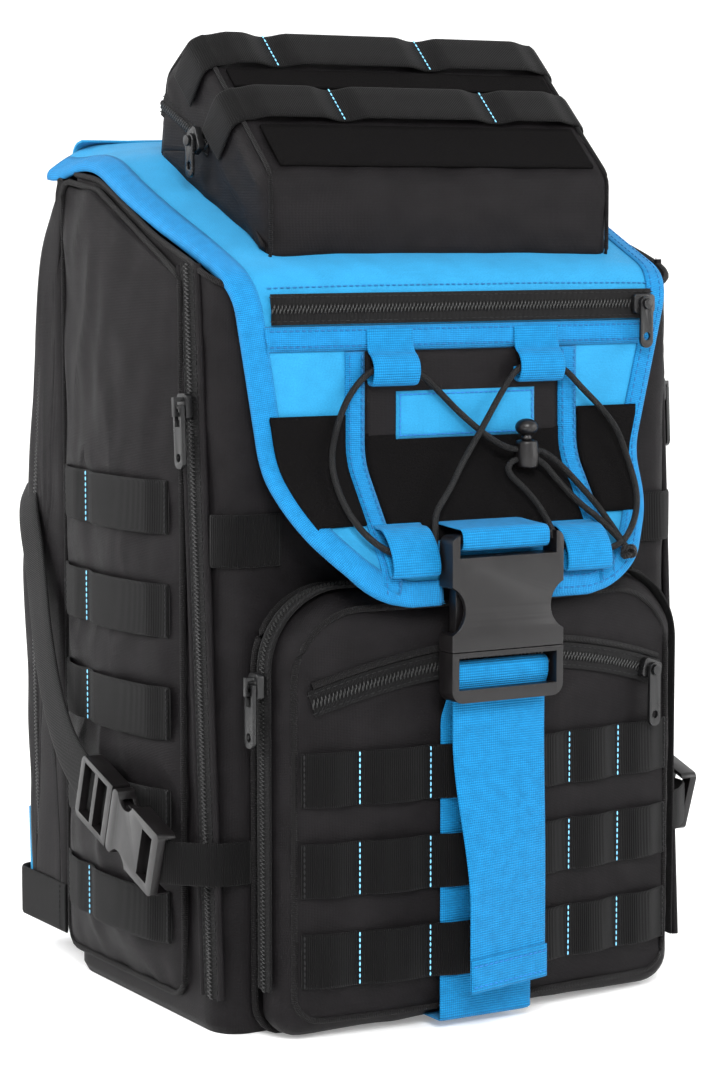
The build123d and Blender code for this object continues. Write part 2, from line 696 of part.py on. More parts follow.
def shoulder_pad():
    """The padded part of the left shoulder strap."""
    path = FilletPolyline((-62, 124, 352), (-62, 130, 372), (-62, 158, 372), (-64, 166, 330), (-70, 164, 120),
                          radius=[12, 14, 30])
    section = Plane(origin=path @ 0, z_dir=path % 0, x_dir=(1, 0, 0)) * RectangleRounded(60, 11, 4)
    return sweep(section, path=path)


def strap_adjuster():
    """The ladder-lock adjuster under the left shoulder strap's padding."""
    frame = block(-88, -56, 160, 166, 90, 116)
    frame = fillet(frame.edges().filter_by(Axis.Y), 3)
    frame -= block(-85, -59, 150, 190, 95, 101)
    frame -= block(-85, -59, 150, 190, 104.5, 110.5)
    return frame - block(-85, -59, 150, 163.9, 80, 112)


def lower_webbing():
    """The webbing from the left adjuster down to the anchor at the bottom corner."""
    line = [(162.9, 109), (162.9, 88), (147.4, 46), (147.4, 18)]
    return ribbon(line, [20, 14], -0.7, 0.7, -84, -60)


def sternum_strap():
    """The webbing of the sternum strap, in its two halves."""
    left = block(-56, -23, 173, 174.6, 280, 300)
    return Compound([left, mirror_x(left)])


def sternum_buckle():
    """The small buckle in the middle of the sternum strap."""
    frame = block(-27, 27, 170, 178, 277, 303)
    frame = fillet(frame.edges().filter_by(Axis.Y), 3)
    frame -= block(-40, -17, 172.4, 200, 279.5, 300.5)
    return frame - block(17, 40, 172.4, 200, 279.5, 300.5) + block(-27, -24.6, 175, 178, 279, 301) \
        + block(24.6, 27, 175, 178, 279, 301)


def haul_handle():
    """The webbing grab loop at the top of the back, hanging down."""
    outline = FilletPolyline((-25, 127, 364), (-25, 134, 336), (25, 134, 336), (25, 127, 364), radius=[12, 12])
    section = Plane(origin=outline @ 0, z_dir=outline % 0, x_dir=(1, 0, 0)) * Rectangle(2.4, 18)
    return sweep(section, path=outline)


def hinge_fabric():
    """The strip of lid fabric that runs down the top of the back from the lid's sewn edge."""
    return ribbon([(118.5, 368), (110, 399), (107, 404)], [8], -1, 0.6, -112, 112)


def both(name, shape):
    """A part of the left side and its mirror image, as two named parts."""
    return {f"{name}_left": shape, f"{name}_right": mirror_x(shape)}


def sliders_and_pulls():
    """All the zip sliders and their pulls."""
    parts = {}
    parts.update(both("side_zip_slider", side_slider_place() * zip_slider()))
    parts.update(both("side_zip_pull", side_slider_place() * zip_pull()))
    parts["pocket_zip_slider"] = pocket_slider_place() * zip_slider()
    parts["pocket_zip_pull"] = pocket_slider_place() * zip_pull()
    parts["face_zip_slider"] = face_slider_place() * face_slider_turn() * level_slider()
    parts["face_zip_pull"] = face_slider_place() * level_pull()
    parts["lid_zip_slider"] = lid_slider_place() * level_slider()
    parts["lid_zip_pull"] = lid_slider_place() * level_pull(21.0)
    parts["pouch_zip_slider"] = pouch_slider_place() * level_slider()
    parts["pouch_zip_pull"] = pouch_pull_place() * level_pull(17.0)
    return parts


def pair(*shapes):
    """Parts of the left side and their mirror images, as one group of separate solids."""
    return Compound([solid for shape in shapes for side in (shape, mirror_x(shape)) for solid in side.solids()])


def base_parts():
    """The parts of the pack's main body, with its straps and harness."""
    plug = side_buckle_place() * side_plug()
    socket = side_buckle_place() * side_socket()
    return {"main_shell": main_shell(), "stiffener_boards": Compound([base_board(), frame_sheet()]),
            "rear_compartment": rear_compartment(), "rear_zip_tapes": rear_zip_tape(),
            "back_pads": Compound([*back_pads().solids(), lumbar_pad()]), "haul_handle": haul_handle(),
            "front_pocket": front_pocket(), "pocket_zip_tape": pocket_zip_tape(),
            "face_zip_tape": face_zip_tape(), "front_webbing_rows": front_rows(),
            "side_panels": pair(side_panel()), "side_zip_tapes": pair(side_zip_tape()),
            "side_webbing_rows": pair(side_rows()),
            "compression_straps": pair(side_strap(), side_strap_front(), upper_strap()),
            "strap_anchors": pair(strap_anchor()), "side_buckle_plugs": pair(plug),
            "side_buckle_sockets": pair(socket), "shoulder_pads": pair(shoulder_pad()),
            "strap_adjusters": pair(strap_adjuster()),
            "harness_webbing": Compound([*pair(lower_webbing()).solids(), *sternum_strap().solids()]),
            "sternum_buckle": sternum_buckle(),
            "closing_strap": closing_strap(), "front_buckle_plug": buckle_plug(),
            "lid_hinge_fabric": hinge_fabric()}


def lid_parts():
    """The parts that rise with the lid."""
    return {"lid_panel": lid_panel(), "lid_bindings": Compound([*lid_binding().solids(),
                                                                *lid_upright_bindings().solids()]),
            "lid_zip_tape": lid_zip_tape(), "lid_band": lid_band(), "lid_centre_panel": lid_centre_panel(),
            "lid_side_strips": side_strips(), "lid_label": lid_label(), "cord_loops": cord_loops(),
            "elastic_cord": elastic_cord(), "cord_knot": cord_knot(), "cord_lock_body": cord_lock_body(),
            "top_pouch": lid_pouch(), "pouch_webbing_rows": pouch_webbing(),
            "pouch_loop_strips": pouch_strips(), "pouch_zip_tape": pouch_zip_tape(),
            "front_buckle_socket": buckle_socket(), "buckle_socket_loop": socket_loop()}


def moving_parts():
    """The small parts that have a movement of their own."""
    parts = {"front_buckle_arm_left": buckle_arm(-1), "front_buckle_arm_right": buckle_arm(1),
             "cord_lock_button": cord_lock_button()}
    for level, side in (("upper", 1), ("lower", -1)):
        parts.update(both(f"side_buckle_{level}_arm", side_buckle_place() * side_arm(side)))
    parts.update(sliders_and_pulls())
    return parts


os.makedirs("parts", exist_ok=True)
for group in (base_parts(), lid_parts(), moving_parts()):
    for part_name, part_shape in group.items():
        export_step(Pos(0, frame_shift_y, 0) * part_shape, f"parts/{part_name}.step")
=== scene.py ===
import json
import math

import bmesh
import bpy
import numpy as np
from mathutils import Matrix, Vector, noise

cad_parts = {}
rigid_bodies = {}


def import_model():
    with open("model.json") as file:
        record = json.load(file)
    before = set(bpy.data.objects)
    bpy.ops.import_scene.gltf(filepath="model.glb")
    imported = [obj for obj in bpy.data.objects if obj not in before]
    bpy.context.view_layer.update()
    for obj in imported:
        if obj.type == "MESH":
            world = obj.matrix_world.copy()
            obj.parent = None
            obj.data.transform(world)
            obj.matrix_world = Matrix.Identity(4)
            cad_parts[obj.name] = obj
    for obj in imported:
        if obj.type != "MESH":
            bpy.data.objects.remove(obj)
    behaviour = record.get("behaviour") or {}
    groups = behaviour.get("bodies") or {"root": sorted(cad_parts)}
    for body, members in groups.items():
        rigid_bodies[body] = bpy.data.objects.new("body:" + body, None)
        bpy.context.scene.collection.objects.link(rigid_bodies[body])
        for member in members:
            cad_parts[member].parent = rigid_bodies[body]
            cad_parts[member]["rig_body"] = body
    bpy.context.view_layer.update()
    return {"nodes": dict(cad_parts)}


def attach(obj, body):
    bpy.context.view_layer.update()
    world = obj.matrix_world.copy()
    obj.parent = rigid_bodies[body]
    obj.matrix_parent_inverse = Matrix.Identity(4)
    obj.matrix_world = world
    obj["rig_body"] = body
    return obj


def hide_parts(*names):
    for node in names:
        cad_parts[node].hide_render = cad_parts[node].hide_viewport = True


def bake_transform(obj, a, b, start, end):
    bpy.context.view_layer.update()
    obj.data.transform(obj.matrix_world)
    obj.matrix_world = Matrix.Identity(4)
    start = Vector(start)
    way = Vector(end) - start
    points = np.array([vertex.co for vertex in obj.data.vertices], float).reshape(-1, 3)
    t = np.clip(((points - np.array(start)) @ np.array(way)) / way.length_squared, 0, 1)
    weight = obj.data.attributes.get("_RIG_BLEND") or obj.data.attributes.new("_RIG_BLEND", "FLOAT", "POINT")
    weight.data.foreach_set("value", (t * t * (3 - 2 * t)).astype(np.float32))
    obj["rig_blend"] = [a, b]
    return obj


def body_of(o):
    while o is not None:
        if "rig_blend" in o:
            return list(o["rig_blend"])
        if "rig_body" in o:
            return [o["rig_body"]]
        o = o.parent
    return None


# The looks of the backpack. Its shapes are drawn in millimetres, in the CAD part's drawing frame (front at
# -y, up +z), and metres() turns them into the shared frame. Textures and lamp sizes are in metres.

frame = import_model()
shift_y = -24.5

# ---- main sizes ----
# They follow the CAD part, but pocket_bottom, rear_half and the outermost front_tacks differ from it by 4 to
# 5 mm, and face_radius puts the pocket's face about 1 mm off at its edges.
body_half, main_front, main_back, body_corner = 127.0, -73.0, 86.0, 16.0
pocket_half, pocket_face_y, face_radius = 111.0, -110.0, 483.04
pocket_bottom, pocket_top, pocket_corner = 1.0, 206.0, 36.0
lid_profile = [(106, 410), (46, 403.5), (-80, 345.5), (-80, 262), (-113, 216), (-117, 188)]
lid_radii = [60, 24, 28, 14]
lid_half, lid_thick = 117.0, 4.0
rear_profile = [(134, 15), (142, 200), (116, 362), (87, 397)]
strap_profile = [(-76, 4.4), (-110.9, 4.4), (-110.9, 146), (-118.5, 160), (-118.5, 173), (-124.5, 173),
                 (-124.5, 165), (-121.2, 158), (-121.2, 22)]
strap_radii = [1.2, 12, 12, 2.9, 2.9, 6, 6]
strap_x, panel_x, panel_half = -8.0, -3.0, 53.0
side_radius, side_centre_x, side_centre_y = 221.5, -85.1, 22.5
front_tacks = (-99.0, -73.0, -38.0, 38.0, 68.0, 99.0)
side_tacks = (-30.0, 42.0, 80.0)
rear_half = 128.0
both_sides = ((-1, "left"), (1, "right"))
sideways, upright = (1.0, 0, 0), (0, 0, 1.0)
row_width = 25.0
tack_ends = (1.5, row_width - 1.5)
loop_places = ((-56, 297, 310.6), (24, 297, 310.6), (-64, 212, 230), (29, 210, 227))


# ---- frame and camera ----
def metres(points):
    """Drawing millimetres to metres in the shared frame."""
    moved = np.array(points, float)
    moved[..., 1] += shift_y
    return moved / 1000.0


def add_camera():
    """The camera, at the picture's viewing angle."""
    data = bpy.data.cameras.new("camera")
    data.lens = 100
    data.sensor_width = 36
    camera = bpy.data.objects.new("camera", data)
    bpy.context.scene.collection.objects.link(camera)
    camera.location = metres((-749.8, -1258.0, 374.6))
    turn, drop = math.radians(30.5), math.radians(6.2)
    ahead = Vector((math.sin(turn) * math.cos(drop), math.cos(turn) * math.cos(drop), -math.sin(drop)))
    camera.rotation_euler = ahead.to_track_quat("-Z", "Y").to_euler()
    bpy.context.scene.camera = camera


add_camera()


# ---- materials ----
band_at_scale_1 = 0.31    # metres between the bands of a wave texture whose scale is 1


def new_material(name, colour, roughness, sheen=0.0):
    """A material with its shader's fixed values set; returns it with its nodes and its shader."""
    material = bpy.data.materials.new(name)
    material.use_nodes = True
    nodes = material.node_tree.nodes
    shader = nodes["Principled BSDF"]
    shader.inputs["Base Color"].default_value = (*colour, 1)
    shader.inputs["Roughness"].default_value = roughness
    shader.inputs["Sheen Weight"].default_value = sheen
    return material, nodes, shader


def wire(material, out_socket, in_socket):
    """Joins two sockets of a material."""
    material.node_tree.links.new(out_socket, in_socket)


def texture_place(material, nodes, kind, scale):
    """Texture coordinates of one kind, scaled."""
    source = nodes.new("ShaderNodeTexCoord")
    mapping = nodes.new("ShaderNodeMapping")
    mapping.inputs["Scale"].default_value = scale
    wire(material, source.outputs[kind], mapping.inputs["Vector"])
    return mapping.outputs["Vector"]


def add_noise(material, nodes, place, scale, detail, rough):
    """A noise texture's value."""
    texture = nodes.new("ShaderNodeTexNoise")
    texture.inputs["Scale"].default_value = scale
    texture.inputs["Detail"].default_value = detail
    texture.inputs["Roughness"].default_value = rough
    wire(material, place, texture.inputs["Vector"])
    return texture.outputs["Fac"]


def add_wave(material, nodes, place, pitch, direction, distortion):
    """A band texture's value, with one band every pitch metres."""
    texture = nodes.new("ShaderNodeTexWave")
    texture.bands_direction = direction
    texture.inputs["Scale"].default_value = band_at_scale_1 / pitch
    texture.inputs["Distortion"].default_value = distortion
    wire(material, place, texture.inputs["Vector"])
    return texture.outputs["Fac"]


def add_ramp(material, nodes, value, stops):
    """A colour ramp over a value; stops are (position, colour)."""
    ramp = nodes.new("ShaderNodeValToRGB")
    elements = ramp.color_ramp.elements
    while len(elements) < len(stops):
        elements.new(0.5)
    for element, (position, colour) in zip(elements, stops):
        element.position = position
        element.color = (*colour, 1)
    wire(material, value, ramp.inputs["Fac"])
    return ramp.outputs["Color"]


def add_sum(material, nodes, first, second, operation="ADD"):
    """Two values put together."""
    node = nodes.new("ShaderNodeMath")
    node.operation = operation
    wire(material, first, node.inputs[0])
    wire(material, second, node.inputs[1])
    return node.outputs["Value"]


def add_bump(material, nodes, shader, height, distance, strength=1.0):
    """Bump from a height value onto the shader."""
    bump = nodes.new("ShaderNodeBump")
    bump.inputs["Distance"].default_value = distance
    bump.inputs["Strength"].default_value = strength
    wire(material, height, bump.inputs["Height"])
    wire(material, bump.outputs["Normal"], shader.inputs["Normal"])


def tint(colour, factor):
    """A colour made darker or lighter, held at 1."""
    return tuple(min(c * factor, 1) for c in colour)


def shades(colour, low, high, places=(0.3, 0.7)):
    """The two stops of a ramp from a darker to a lighter version of a colour."""
    return [(places[0], tint(colour, low)), (places[1], tint(colour, high))]


def woven(name, colour, pitch, roughness, sheen, contrast):
    """A plain woven cloth, with a weave of that pitch in metres and a faint cloudy variation."""
    material, nodes, shader = new_material(name, colour, roughness, sheen)
    shader.inputs["Sheen Roughness"].default_value = 0.5
    shader.inputs["Specular IOR Level"].default_value = 0.07
    place = texture_place(material, nodes, "UV", (1, 1, 1))
    across = add_wave(material, nodes, place, pitch, "X", 0.6)
    along = add_wave(material, nodes, place, pitch, "Y", 0.6)
    weave = add_sum(material, nodes, across, along, "MULTIPLY")
    cloud = add_noise(material, nodes, place, 60, 4, 0.65)
    fine = add_noise(material, nodes, place, 1500, 2, 0.6)
    height = add_sum(material, nodes, weave, fine)
    mixed = add_sum(material, nodes, cloud, fine, "MULTIPLY")
    stops = shades(colour, *contrast, (0.12, 0.42))
    wire(material, add_ramp(material, nodes, mixed, stops), shader.inputs["Base Color"])
    add_bump(material, nodes, shader, height, 0.00012)
    return material


def webbing(name, colour, rib, roughness, contrast, depth):
    """Webbing that runs along V: crossed threads in its colour, and ribs across it in its relief."""
    material, nodes, shader = new_material(name, colour, roughness, 0.04)
    shader.inputs["Specular IOR Level"].default_value = 0.08
    place = texture_place(material, nodes, "UV", (1, 1, 1))
    weave = add_wave(material, nodes, place, rib, "Y", 0.2)
    cross = add_wave(material, nodes, place, rib, "X", 0.2)
    twill = add_sum(material, nodes, weave, cross)
    cloud = add_noise(material, nodes, place, 160, 3, 0.6)
    tone = add_sum(material, nodes, twill, cloud, "MULTIPLY")
    stops = shades(colour, *contrast, (0.0, 1.0))
    wire(material, add_ramp(material, nodes, tone, stops), shader.inputs["Base Color"])
    add_bump(material, nodes, shader, weave, depth)
    return material


def pile(name, colour):
    """Loop pile or felt, with no direction."""
    material, nodes, shader = new_material(name, colour, 0.95)
    shader.inputs["Specular IOR Level"].default_value = 0.04
    place = texture_place(material, nodes, "UV", (1, 1, 1))
    fuzz = add_noise(material, nodes, place, 900, 4, 0.8)
    wire(material, add_ramp(material, nodes, fuzz, shades(colour, 0.55, 1.6)), shader.inputs["Base Color"])
    add_bump(material, nodes, shader, fuzz, 0.0006)
    return material


def moulded(name, colour, roughness):
    """Moulded plastic with a faint grain and uneven shine."""
    material, nodes, shader = new_material(name, colour, roughness)
    shader.inputs["Specular IOR Level"].default_value = 0.34
    place = texture_place(material, nodes, "Object", (1, 1, 1))
    grain = add_noise(material, nodes, place, 2200, 2, 0.5)
    cloud = add_noise(material, nodes, place, 90, 4, 0.6)
    wire(material, add_ramp(material, nodes, cloud, shades((roughness,) * 3, 0.85, 1.2)),
         shader.inputs["Roughness"])
    wire(material, add_ramp(material, nodes, cloud, shades(colour, 0.85, 1.2)), shader.inputs["Base Color"])
    add_bump(material, nodes, shader, grain, 0.00003, 0.6)
    return material


def mesh_cloth(name, colour):
    """Air mesh: cloth with small round holes, each painted darker at its middle as painted shade."""
    material, nodes, shader = new_material(name, colour, 0.85, 0.05)
    place = texture_place(material, nodes, "UV", (1, 1, 1))
    cells = nodes.new("ShaderNodeTexVoronoi")
    cells.inputs["Scale"].default_value = 420
    cells.inputs["Randomness"].default_value = 0.15
    wire(material, place, cells.inputs["Vector"])
    value = cells.outputs["Distance"]
    # painted shade: in the middle of each hole the cloth is darkened to a quarter of its colour
    stops = shades(colour, 0.25, 1.0, (0.15, 0.4))
    wire(material, add_ramp(material, nodes, value, stops), shader.inputs["Base Color"])
    add_bump(material, nodes, shader, value, 0.0008)
    return material


# woven takes the colour, the weave's pitch, roughness, sheen and contrast; webbing the colour, the ribs'
# pitch, roughness, contrast and the ribs' depth; moulded the colour and roughness.
azure = (0.019, 0.21, 0.41)
azure_deep = (0.005, 0.152, 0.35)
black_nylon = woven("black_nylon", (0.0062, 0.0055, 0.0060), 0.0007, 0.5, 0.0, (0.65, 1.5))
blue_nylon = woven("blue_nylon", azure, 0.0007, 0.68, 0.05, (0.86, 1.12))
blue_binding = webbing("blue_binding", (0.008, 0.160, 0.37), 0.0009, 0.7, (0.72, 1.28), 0.00025)
blue_webbing = webbing("blue_webbing", azure_deep, 0.0011, 0.6, (0.70, 1.30), 0.0003)
black_webbing = webbing("black_webbing", (0.0013, 0.0012, 0.0013), 0.0010, 0.7, (0.7, 1.5), 0.0002)
black_binding = webbing("black_binding", (0.0048, 0.0044, 0.0046), 0.0009, 0.7, (0.7, 1.5), 0.0003)
black_pile = pile("black_pile", (0.0036, 0.0033, 0.0034))
black_tape = webbing("black_tape", (0.0042, 0.0040, 0.0042), 0.0007, 0.75, (0.7, 1.5), 0.0002)
plastic = moulded("plastic", (0.0040, 0.0034, 0.0036), 0.33)
slider_metal = moulded("slider_metal", (0.0055, 0.0055, 0.0058), 0.3)
coil_plastic = moulded("coil_plastic", (0.010, 0.010, 0.010), 0.35)
pale_thread = moulded("pale_thread", (0.20, 0.55, 0.80), 0.7)
blue_thread = moulded("blue_thread", (0.012, 0.13, 0.40), 0.7)
light_blue_thread = moulded("light_blue_thread", (0.006, 0.10, 0.27), 0.7)
black_thread = moulded("black_thread", (0.006, 0.006, 0.0065), 0.8)
air_mesh = mesh_cloth("air_mesh", (0.012, 0.0115, 0.012))
board = moulded("board", (0.05, 0.05, 0.052), 0.6)
cord_cover = webbing("cord_cover", (0.009, 0.009, 0.0095), 0.0012, 0.55, (0.6, 1.8), 0.0003)


# ---- small geometry helpers ----
def unit(vectors):
    """Vectors scaled to length 1."""
    vectors = np.asarray(vectors, float)
    return vectors / np.maximum(np.linalg.norm(vectors, axis=-1, keepdims=True), 1e-9)


def rounded(points, radii, step=2.5):
    """A planar polyline with its corners turned into arcs, as closely spaced points."""
    points = [np.array(p, float) for p in points]
    path = [points[0]]
    for before, corner, after, radius in zip(points, points[1:], points[2:], radii):
        a, b = unit(before - corner), unit(after - corner)
        half = math.acos(np.clip(a @ b, -1, 1)) / 2
        reach = radius / math.tan(half)
        start, end = corner + a * reach, corner + b * reach
        centre = corner + unit(a + b) * radius / math.sin(half)
        count = max(3, int(radius * (math.pi - 2 * half) / step) + 1)
        for t in np.linspace(0, 1, count):
            spot = start * (1 - t) + end * t
            path.append(centre + unit(spot - centre) * radius)
    path.append(points[-1])
    return resample(np.array(path), step)


def lengths_along(points, axis=0):
    """The distance to each point along a path; over a grid, the mean for each row or column."""
    steps = np.linalg.norm(np.diff(points, axis=axis), axis=-1)
    if steps.ndim == 2:
        steps = steps.mean(1 - axis)
    return np.concatenate([[0], np.cumsum(steps)])


def resample(path, step):
    """Points at even spacing along a path, its ends included."""
    path = np.asarray(path, float)
    lengths = lengths_along(path)
    count = max(2, int(round(lengths[-1] / step)) + 1)
    spots = np.linspace(0, lengths[-1], count)
    return np.stack([np.interp(spots, lengths, path[:, k]) for k in range(path.shape[1])], 1)


def smooth_path(points, rounds=3, step=2.5):
    """A polyline with its corners cut, at even spacing."""
    path = np.asarray(points, float)
    for _ in range(rounds):
        inner = np.empty((2 * (len(path) - 1), path.shape[1]))
        inner[0::2] = path[:-1] * 0.75 + path[1:] * 0.25
        inner[1::2] = path[:-1] * 0.25 + path[1:] * 0.75
        path = np.vstack([path[:1], inner, path[-1:]])
    return resample(path, step)


def directions(path):
    """Unit tangents of a path."""
    return unit(np.gradient(np.asarray(path, float), axis=0))


def at_x(x, line):
    """The points of a (y, z) line, all at one x."""
    return np.column_stack([np.full(len(line), x), line])


def at_height(line, z):
    """The points of an (x, y) line, all at one height."""
    return np.column_stack([line, np.full(len(line), z)])


def everywhere(vector, path):
    """One vector, repeated for each point of a path."""
    return np.tile(vector, (len(path), 1))


def over_width(normals, path):
    """The way over the width of a strip along a path, from the normals of what it lies on."""
    return unit(np.cross(normals, directions(path)))


def once(first, node):
    """What a piece stands for, where several alike stand for one CAD node: the first of them names it."""
    return (node,) if first else ()


def place_piece(obj, body, slot, replaced=()):
    """Every piece rides on a body and may stand for CAD nodes, which it hides; its slot is not used."""
    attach(obj, body)
    if replaced:
        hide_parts(*replaced)
    return obj


def mesh_piece(name, vertices, faces, material, uvs=None):
    """A smooth-shaded mesh from drawing millimetres; uvs are per vertex, in metres, or box-projected."""
    mesh = bpy.data.meshes.new(name)
    world = metres(vertices)
    mesh.from_pydata(world.tolist(), [], [tuple(int(i) for i in f) for f in faces])
    mesh.update()
    mesh.materials.append(material)
    mesh.polygons.foreach_set("use_smooth", [True] * len(mesh.polygons))
    corner_vertex = np.zeros(len(mesh.loops), int)
    mesh.loops.foreach_get("vertex_index", corner_vertex)
    layer = mesh.uv_layers.new(name="UVMap")
    if uvs is None:
        normals = np.zeros(len(mesh.polygons) * 3)
        mesh.polygons.foreach_get("normal", normals)
        axis = np.abs(normals.reshape(-1, 3)).argmax(1)
        totals = np.zeros(len(mesh.polygons), int)
        mesh.polygons.foreach_get("loop_total", totals)
        axis = np.repeat(axis, totals)
        spots = world[corner_vertex]
        flat = np.where((axis == 0)[:, None], spots[:, [1, 2]],
                        np.where((axis == 1)[:, None], spots[:, [0, 2]], spots[:, [0, 1]]))
    else:
        flat = np.asarray(uvs)[corner_vertex]
    layer.data.foreach_set("uv", flat.astype(np.float32).ravel())
    obj = bpy.data.objects.new(name, mesh)
    bpy.context.scene.collection.objects.link(obj)
    return obj


def grid_faces(rows, columns, closed=False):
    """Quads over a grid of rows by columns; closed joins the last column to the first."""
    faces = []
    last = columns if closed else columns - 1
    for i in range(rows - 1):
        for j in range(last):
            k = (j + 1) % columns
            faces.append((i * columns + j, i * columns + k, (i + 1) * columns + k, (i + 1) * columns + j))
    return faces


def capped_faces(rows, columns):
    """Quads round a closed tube, with a face over each of its ends."""
    faces = grid_faces(rows, columns, True)
    faces.append(tuple(range(columns))[::-1])
    faces.append(tuple((rows - 1) * columns + j for j in range(columns)))
    return faces


def grid_uvs(over, down):
    """A grid's texture coordinates, from the distances of its columns and of its rows."""
    return np.stack(np.broadcast_arrays(over[None, :], down[:, None]), -1).reshape(-1, 2)


def grid_piece(name, points, material, closed=False, thick=0.0, offset=-1.0, keep=None):
    """A sheet over a grid of points, with its texture in metres along both directions."""
    points = np.asarray(points, float)
    rows, columns = points.shape[:2]
    uvs = grid_uvs(lengths_along(points, 1) / 1000, lengths_along(points) / 1000)
    faces = grid_faces(rows, columns, closed)
    flat = points.reshape(-1, 3)
    if keep is not None:
        faces = [f for f in faces if keep(flat[list(f)].mean(0))]
    obj = mesh_piece(name, flat, faces, material, uvs)
    if thick:
        solid = obj.modifiers.new("thickness", "SOLIDIFY")
        solid.thickness = thick / 1000
        solid.offset = offset
    return obj


def strap_piece(name, path, across, width, thick, material):
    """Flat webbing along a path, with soft edges; across is the way over its width, once or at each point."""
    path = np.asarray(path, float)
    across = np.broadcast_to(unit(across), path.shape)
    normals = unit(np.cross(directions(path), across))
    upper = [(-0.5, 0.0), (-0.49, 0.5), (-0.44, 0.95), (-0.2, 1.0), (0.2, 1.0), (0.44, 0.95), (0.49, 0.5)]
    profile = upper + [(-a, -b) for a, b in upper]
    rings = [path + across * (a * width) + normals * (b * thick / 2) for a, b in profile]
    points = np.stack(rings, 1)
    over = np.array([a for a, b in profile]) * width / 1000
    uvs = grid_uvs(over, lengths_along(path) / 1000)
    return mesh_piece(name, points.reshape(-1, 3), capped_faces(len(path), len(profile)), material, uvs)


def black_strap(name, path, across, width, thick, replaced=(), body="pack"):
    """A piece of black webbing, on its body."""
    strap = strap_piece(name, path, across, width, thick, black_webbing)
    return place_piece(strap, body, "black_webbing", replaced)


def blue_strap(name, path, across, width, thick, replaced=(), body="pack"):
    """A piece of blue webbing, on its body."""
    strap = strap_piece(name, path, across, width, thick, blue_webbing)
    return place_piece(strap, body, "blue_webbing", replaced)


def tube_piece(name, path, radius, material, sides):
    """A round tube along a path."""
    path = np.asarray(path, float)
    tangents = directions(path)
    first = unit(np.cross(tangents, np.where(np.abs(tangents[:, 2:3]) < 0.9, [[0, 0, 1.0]], [[1.0, 0, 0]])))
    second = np.cross(tangents, first)
    turns = np.linspace(0, 2 * math.pi, sides, endpoint=False)
    rings = [path + radius * (math.cos(t) * first + math.sin(t) * second) for t in turns]
    return grid_piece(name, np.stack(rings, 1), material, closed=True)


def bead_template():
    """A small closed bead of unit size, as vertices and quads."""
    rows, sides = 5, 6
    vertices = []
    for i in range(rows):
        angle = math.pi * (i + 0.35) / (rows - 0.3)
        for j in range(sides):
            turn = 2 * math.pi * j / sides
            vertices.append((-math.cos(angle), math.sin(angle) * math.cos(turn),
                             math.sin(angle) * math.sin(turn)))
    return np.array(vertices), capped_faces(rows, sides)


bead_vertices, bead_faces = bead_template()


def beads(name, centres, along, normals, size, material):
    """One mesh of many beads: stitches, zip teeth or tack threads. size is (length, width, height)."""
    centres, along, normals = (np.asarray(a, float) for a in (centres, along, normals))
    along = unit(along)
    side = unit(np.cross(normals, along))
    up = np.cross(along, side)
    length, width, height = size
    vertices, faces = [], []
    for centre, a, s, u in zip(centres, along, side, up):
        base = len(vertices) * len(bead_vertices)
        spots = bead_vertices[:, :1] * a * length / 2 + bead_vertices[:, 1:2] * s * width / 2
        vertices.append(centre + spots + bead_vertices[:, 2:] * u * height / 2)
        faces.extend(tuple(base + i for i in f) for f in bead_faces)
    return mesh_piece(name, np.concatenate(vertices), faces, material)


def stitch_row(name, path, normals, material, pitch=3.4, length=2.4, width=0.7):
    """A row of stitches that follows a path on a surface."""
    both = resample(np.hstack([path, normals]), pitch)
    centres, ups = both[:, :3], unit(both[:, 3:])
    thread_height = 0.5
    return beads(name, centres, directions(centres), ups, (length, width, thread_height), material)


def wander(points, scale, seed=0.0):
    """Smooth noise from -1 to 1 at each point, with features about scale millimetres across."""
    return np.array([noise.noise(Vector((x / scale + seed, y / scale, z / scale))) for x, y, z in points])


def wrinkle(points, normals, amount, scale, seed=0.0, stretch=(1, 1, 1)):
    """Points pushed in and out along their normals by soft, stretched folds."""
    scaled = np.asarray(points, float) / np.array(stretch, float)
    folds = 1 - np.abs(wander(scaled, scale, seed)) * 2.2
    small = wander(scaled, scale * 0.4, seed + 7)
    return points + normals * ((folds * 0.75 + small * 0.35) * amount)[:, None]


def pillow(name, outline, place, low, high, edge, material, bulge=None, folds=None, *, rings, depth_rows):
    """A stuffed piece: an outline in a plane, between two heights, with round edges.
    place(a, b, h) gives the point; bulge(a, b) is added to the height of the high face."""
    centre_share, edge_steps = 0.02, (0.25, 0.5, 0.75)
    outline = np.asarray(outline, float)
    middle = outline.mean(0)
    tangent = unit(np.roll(outline, -1, 0) - np.roll(outline, 1, 0))
    inward = np.stack([-tangent[:, 1], tangent[:, 0]], 1)
    if ((middle - outline) * inward).sum() < 0:
        inward = -inward
    inner = outline + inward * edge

    def edge_ring(turn):
        """A ring part of the way round the rounded edge, and how far its height is from the face's."""
        return outline + inward * edge * (1 - math.sin(turn)), edge * (1 - math.cos(turn))

    shapes = [(middle + (inner - middle) * f, low, 0) for f in np.linspace(centre_share, 1, rings)]
    for t in edge_steps:
        ring, rise = edge_ring(t * math.pi / 2)
        shapes.append((ring, low + rise, 0))
    shapes += [(outline, h, 0) for h in np.linspace(low + edge, high - edge, depth_rows)]
    for t in edge_steps:
        ring, rise = edge_ring((1 - t) * math.pi / 2)
        shapes.append((ring, high - rise, t))
    shapes += [(middle + (inner - middle) * f, high, 1.0) for f in np.linspace(1, centre_share, rings)]
    points = []
    for ring, h, share in shapes:
        heights = np.full(len(ring), h, float)
        if bulge is not None and share:
            heights = heights + share * np.array([bulge(a, b) for a, b in ring])
        points.append(np.array([place(a, b, c) for (a, b), c in zip(ring, heights)]))
    points = np.array(points)
    obj = mesh_piece(name, points.reshape(-1, 3), capped_faces(*points.shape[:2]), material)
    settle_normals(obj)
    if folds is not None:
        refold(obj, folds)
    return obj


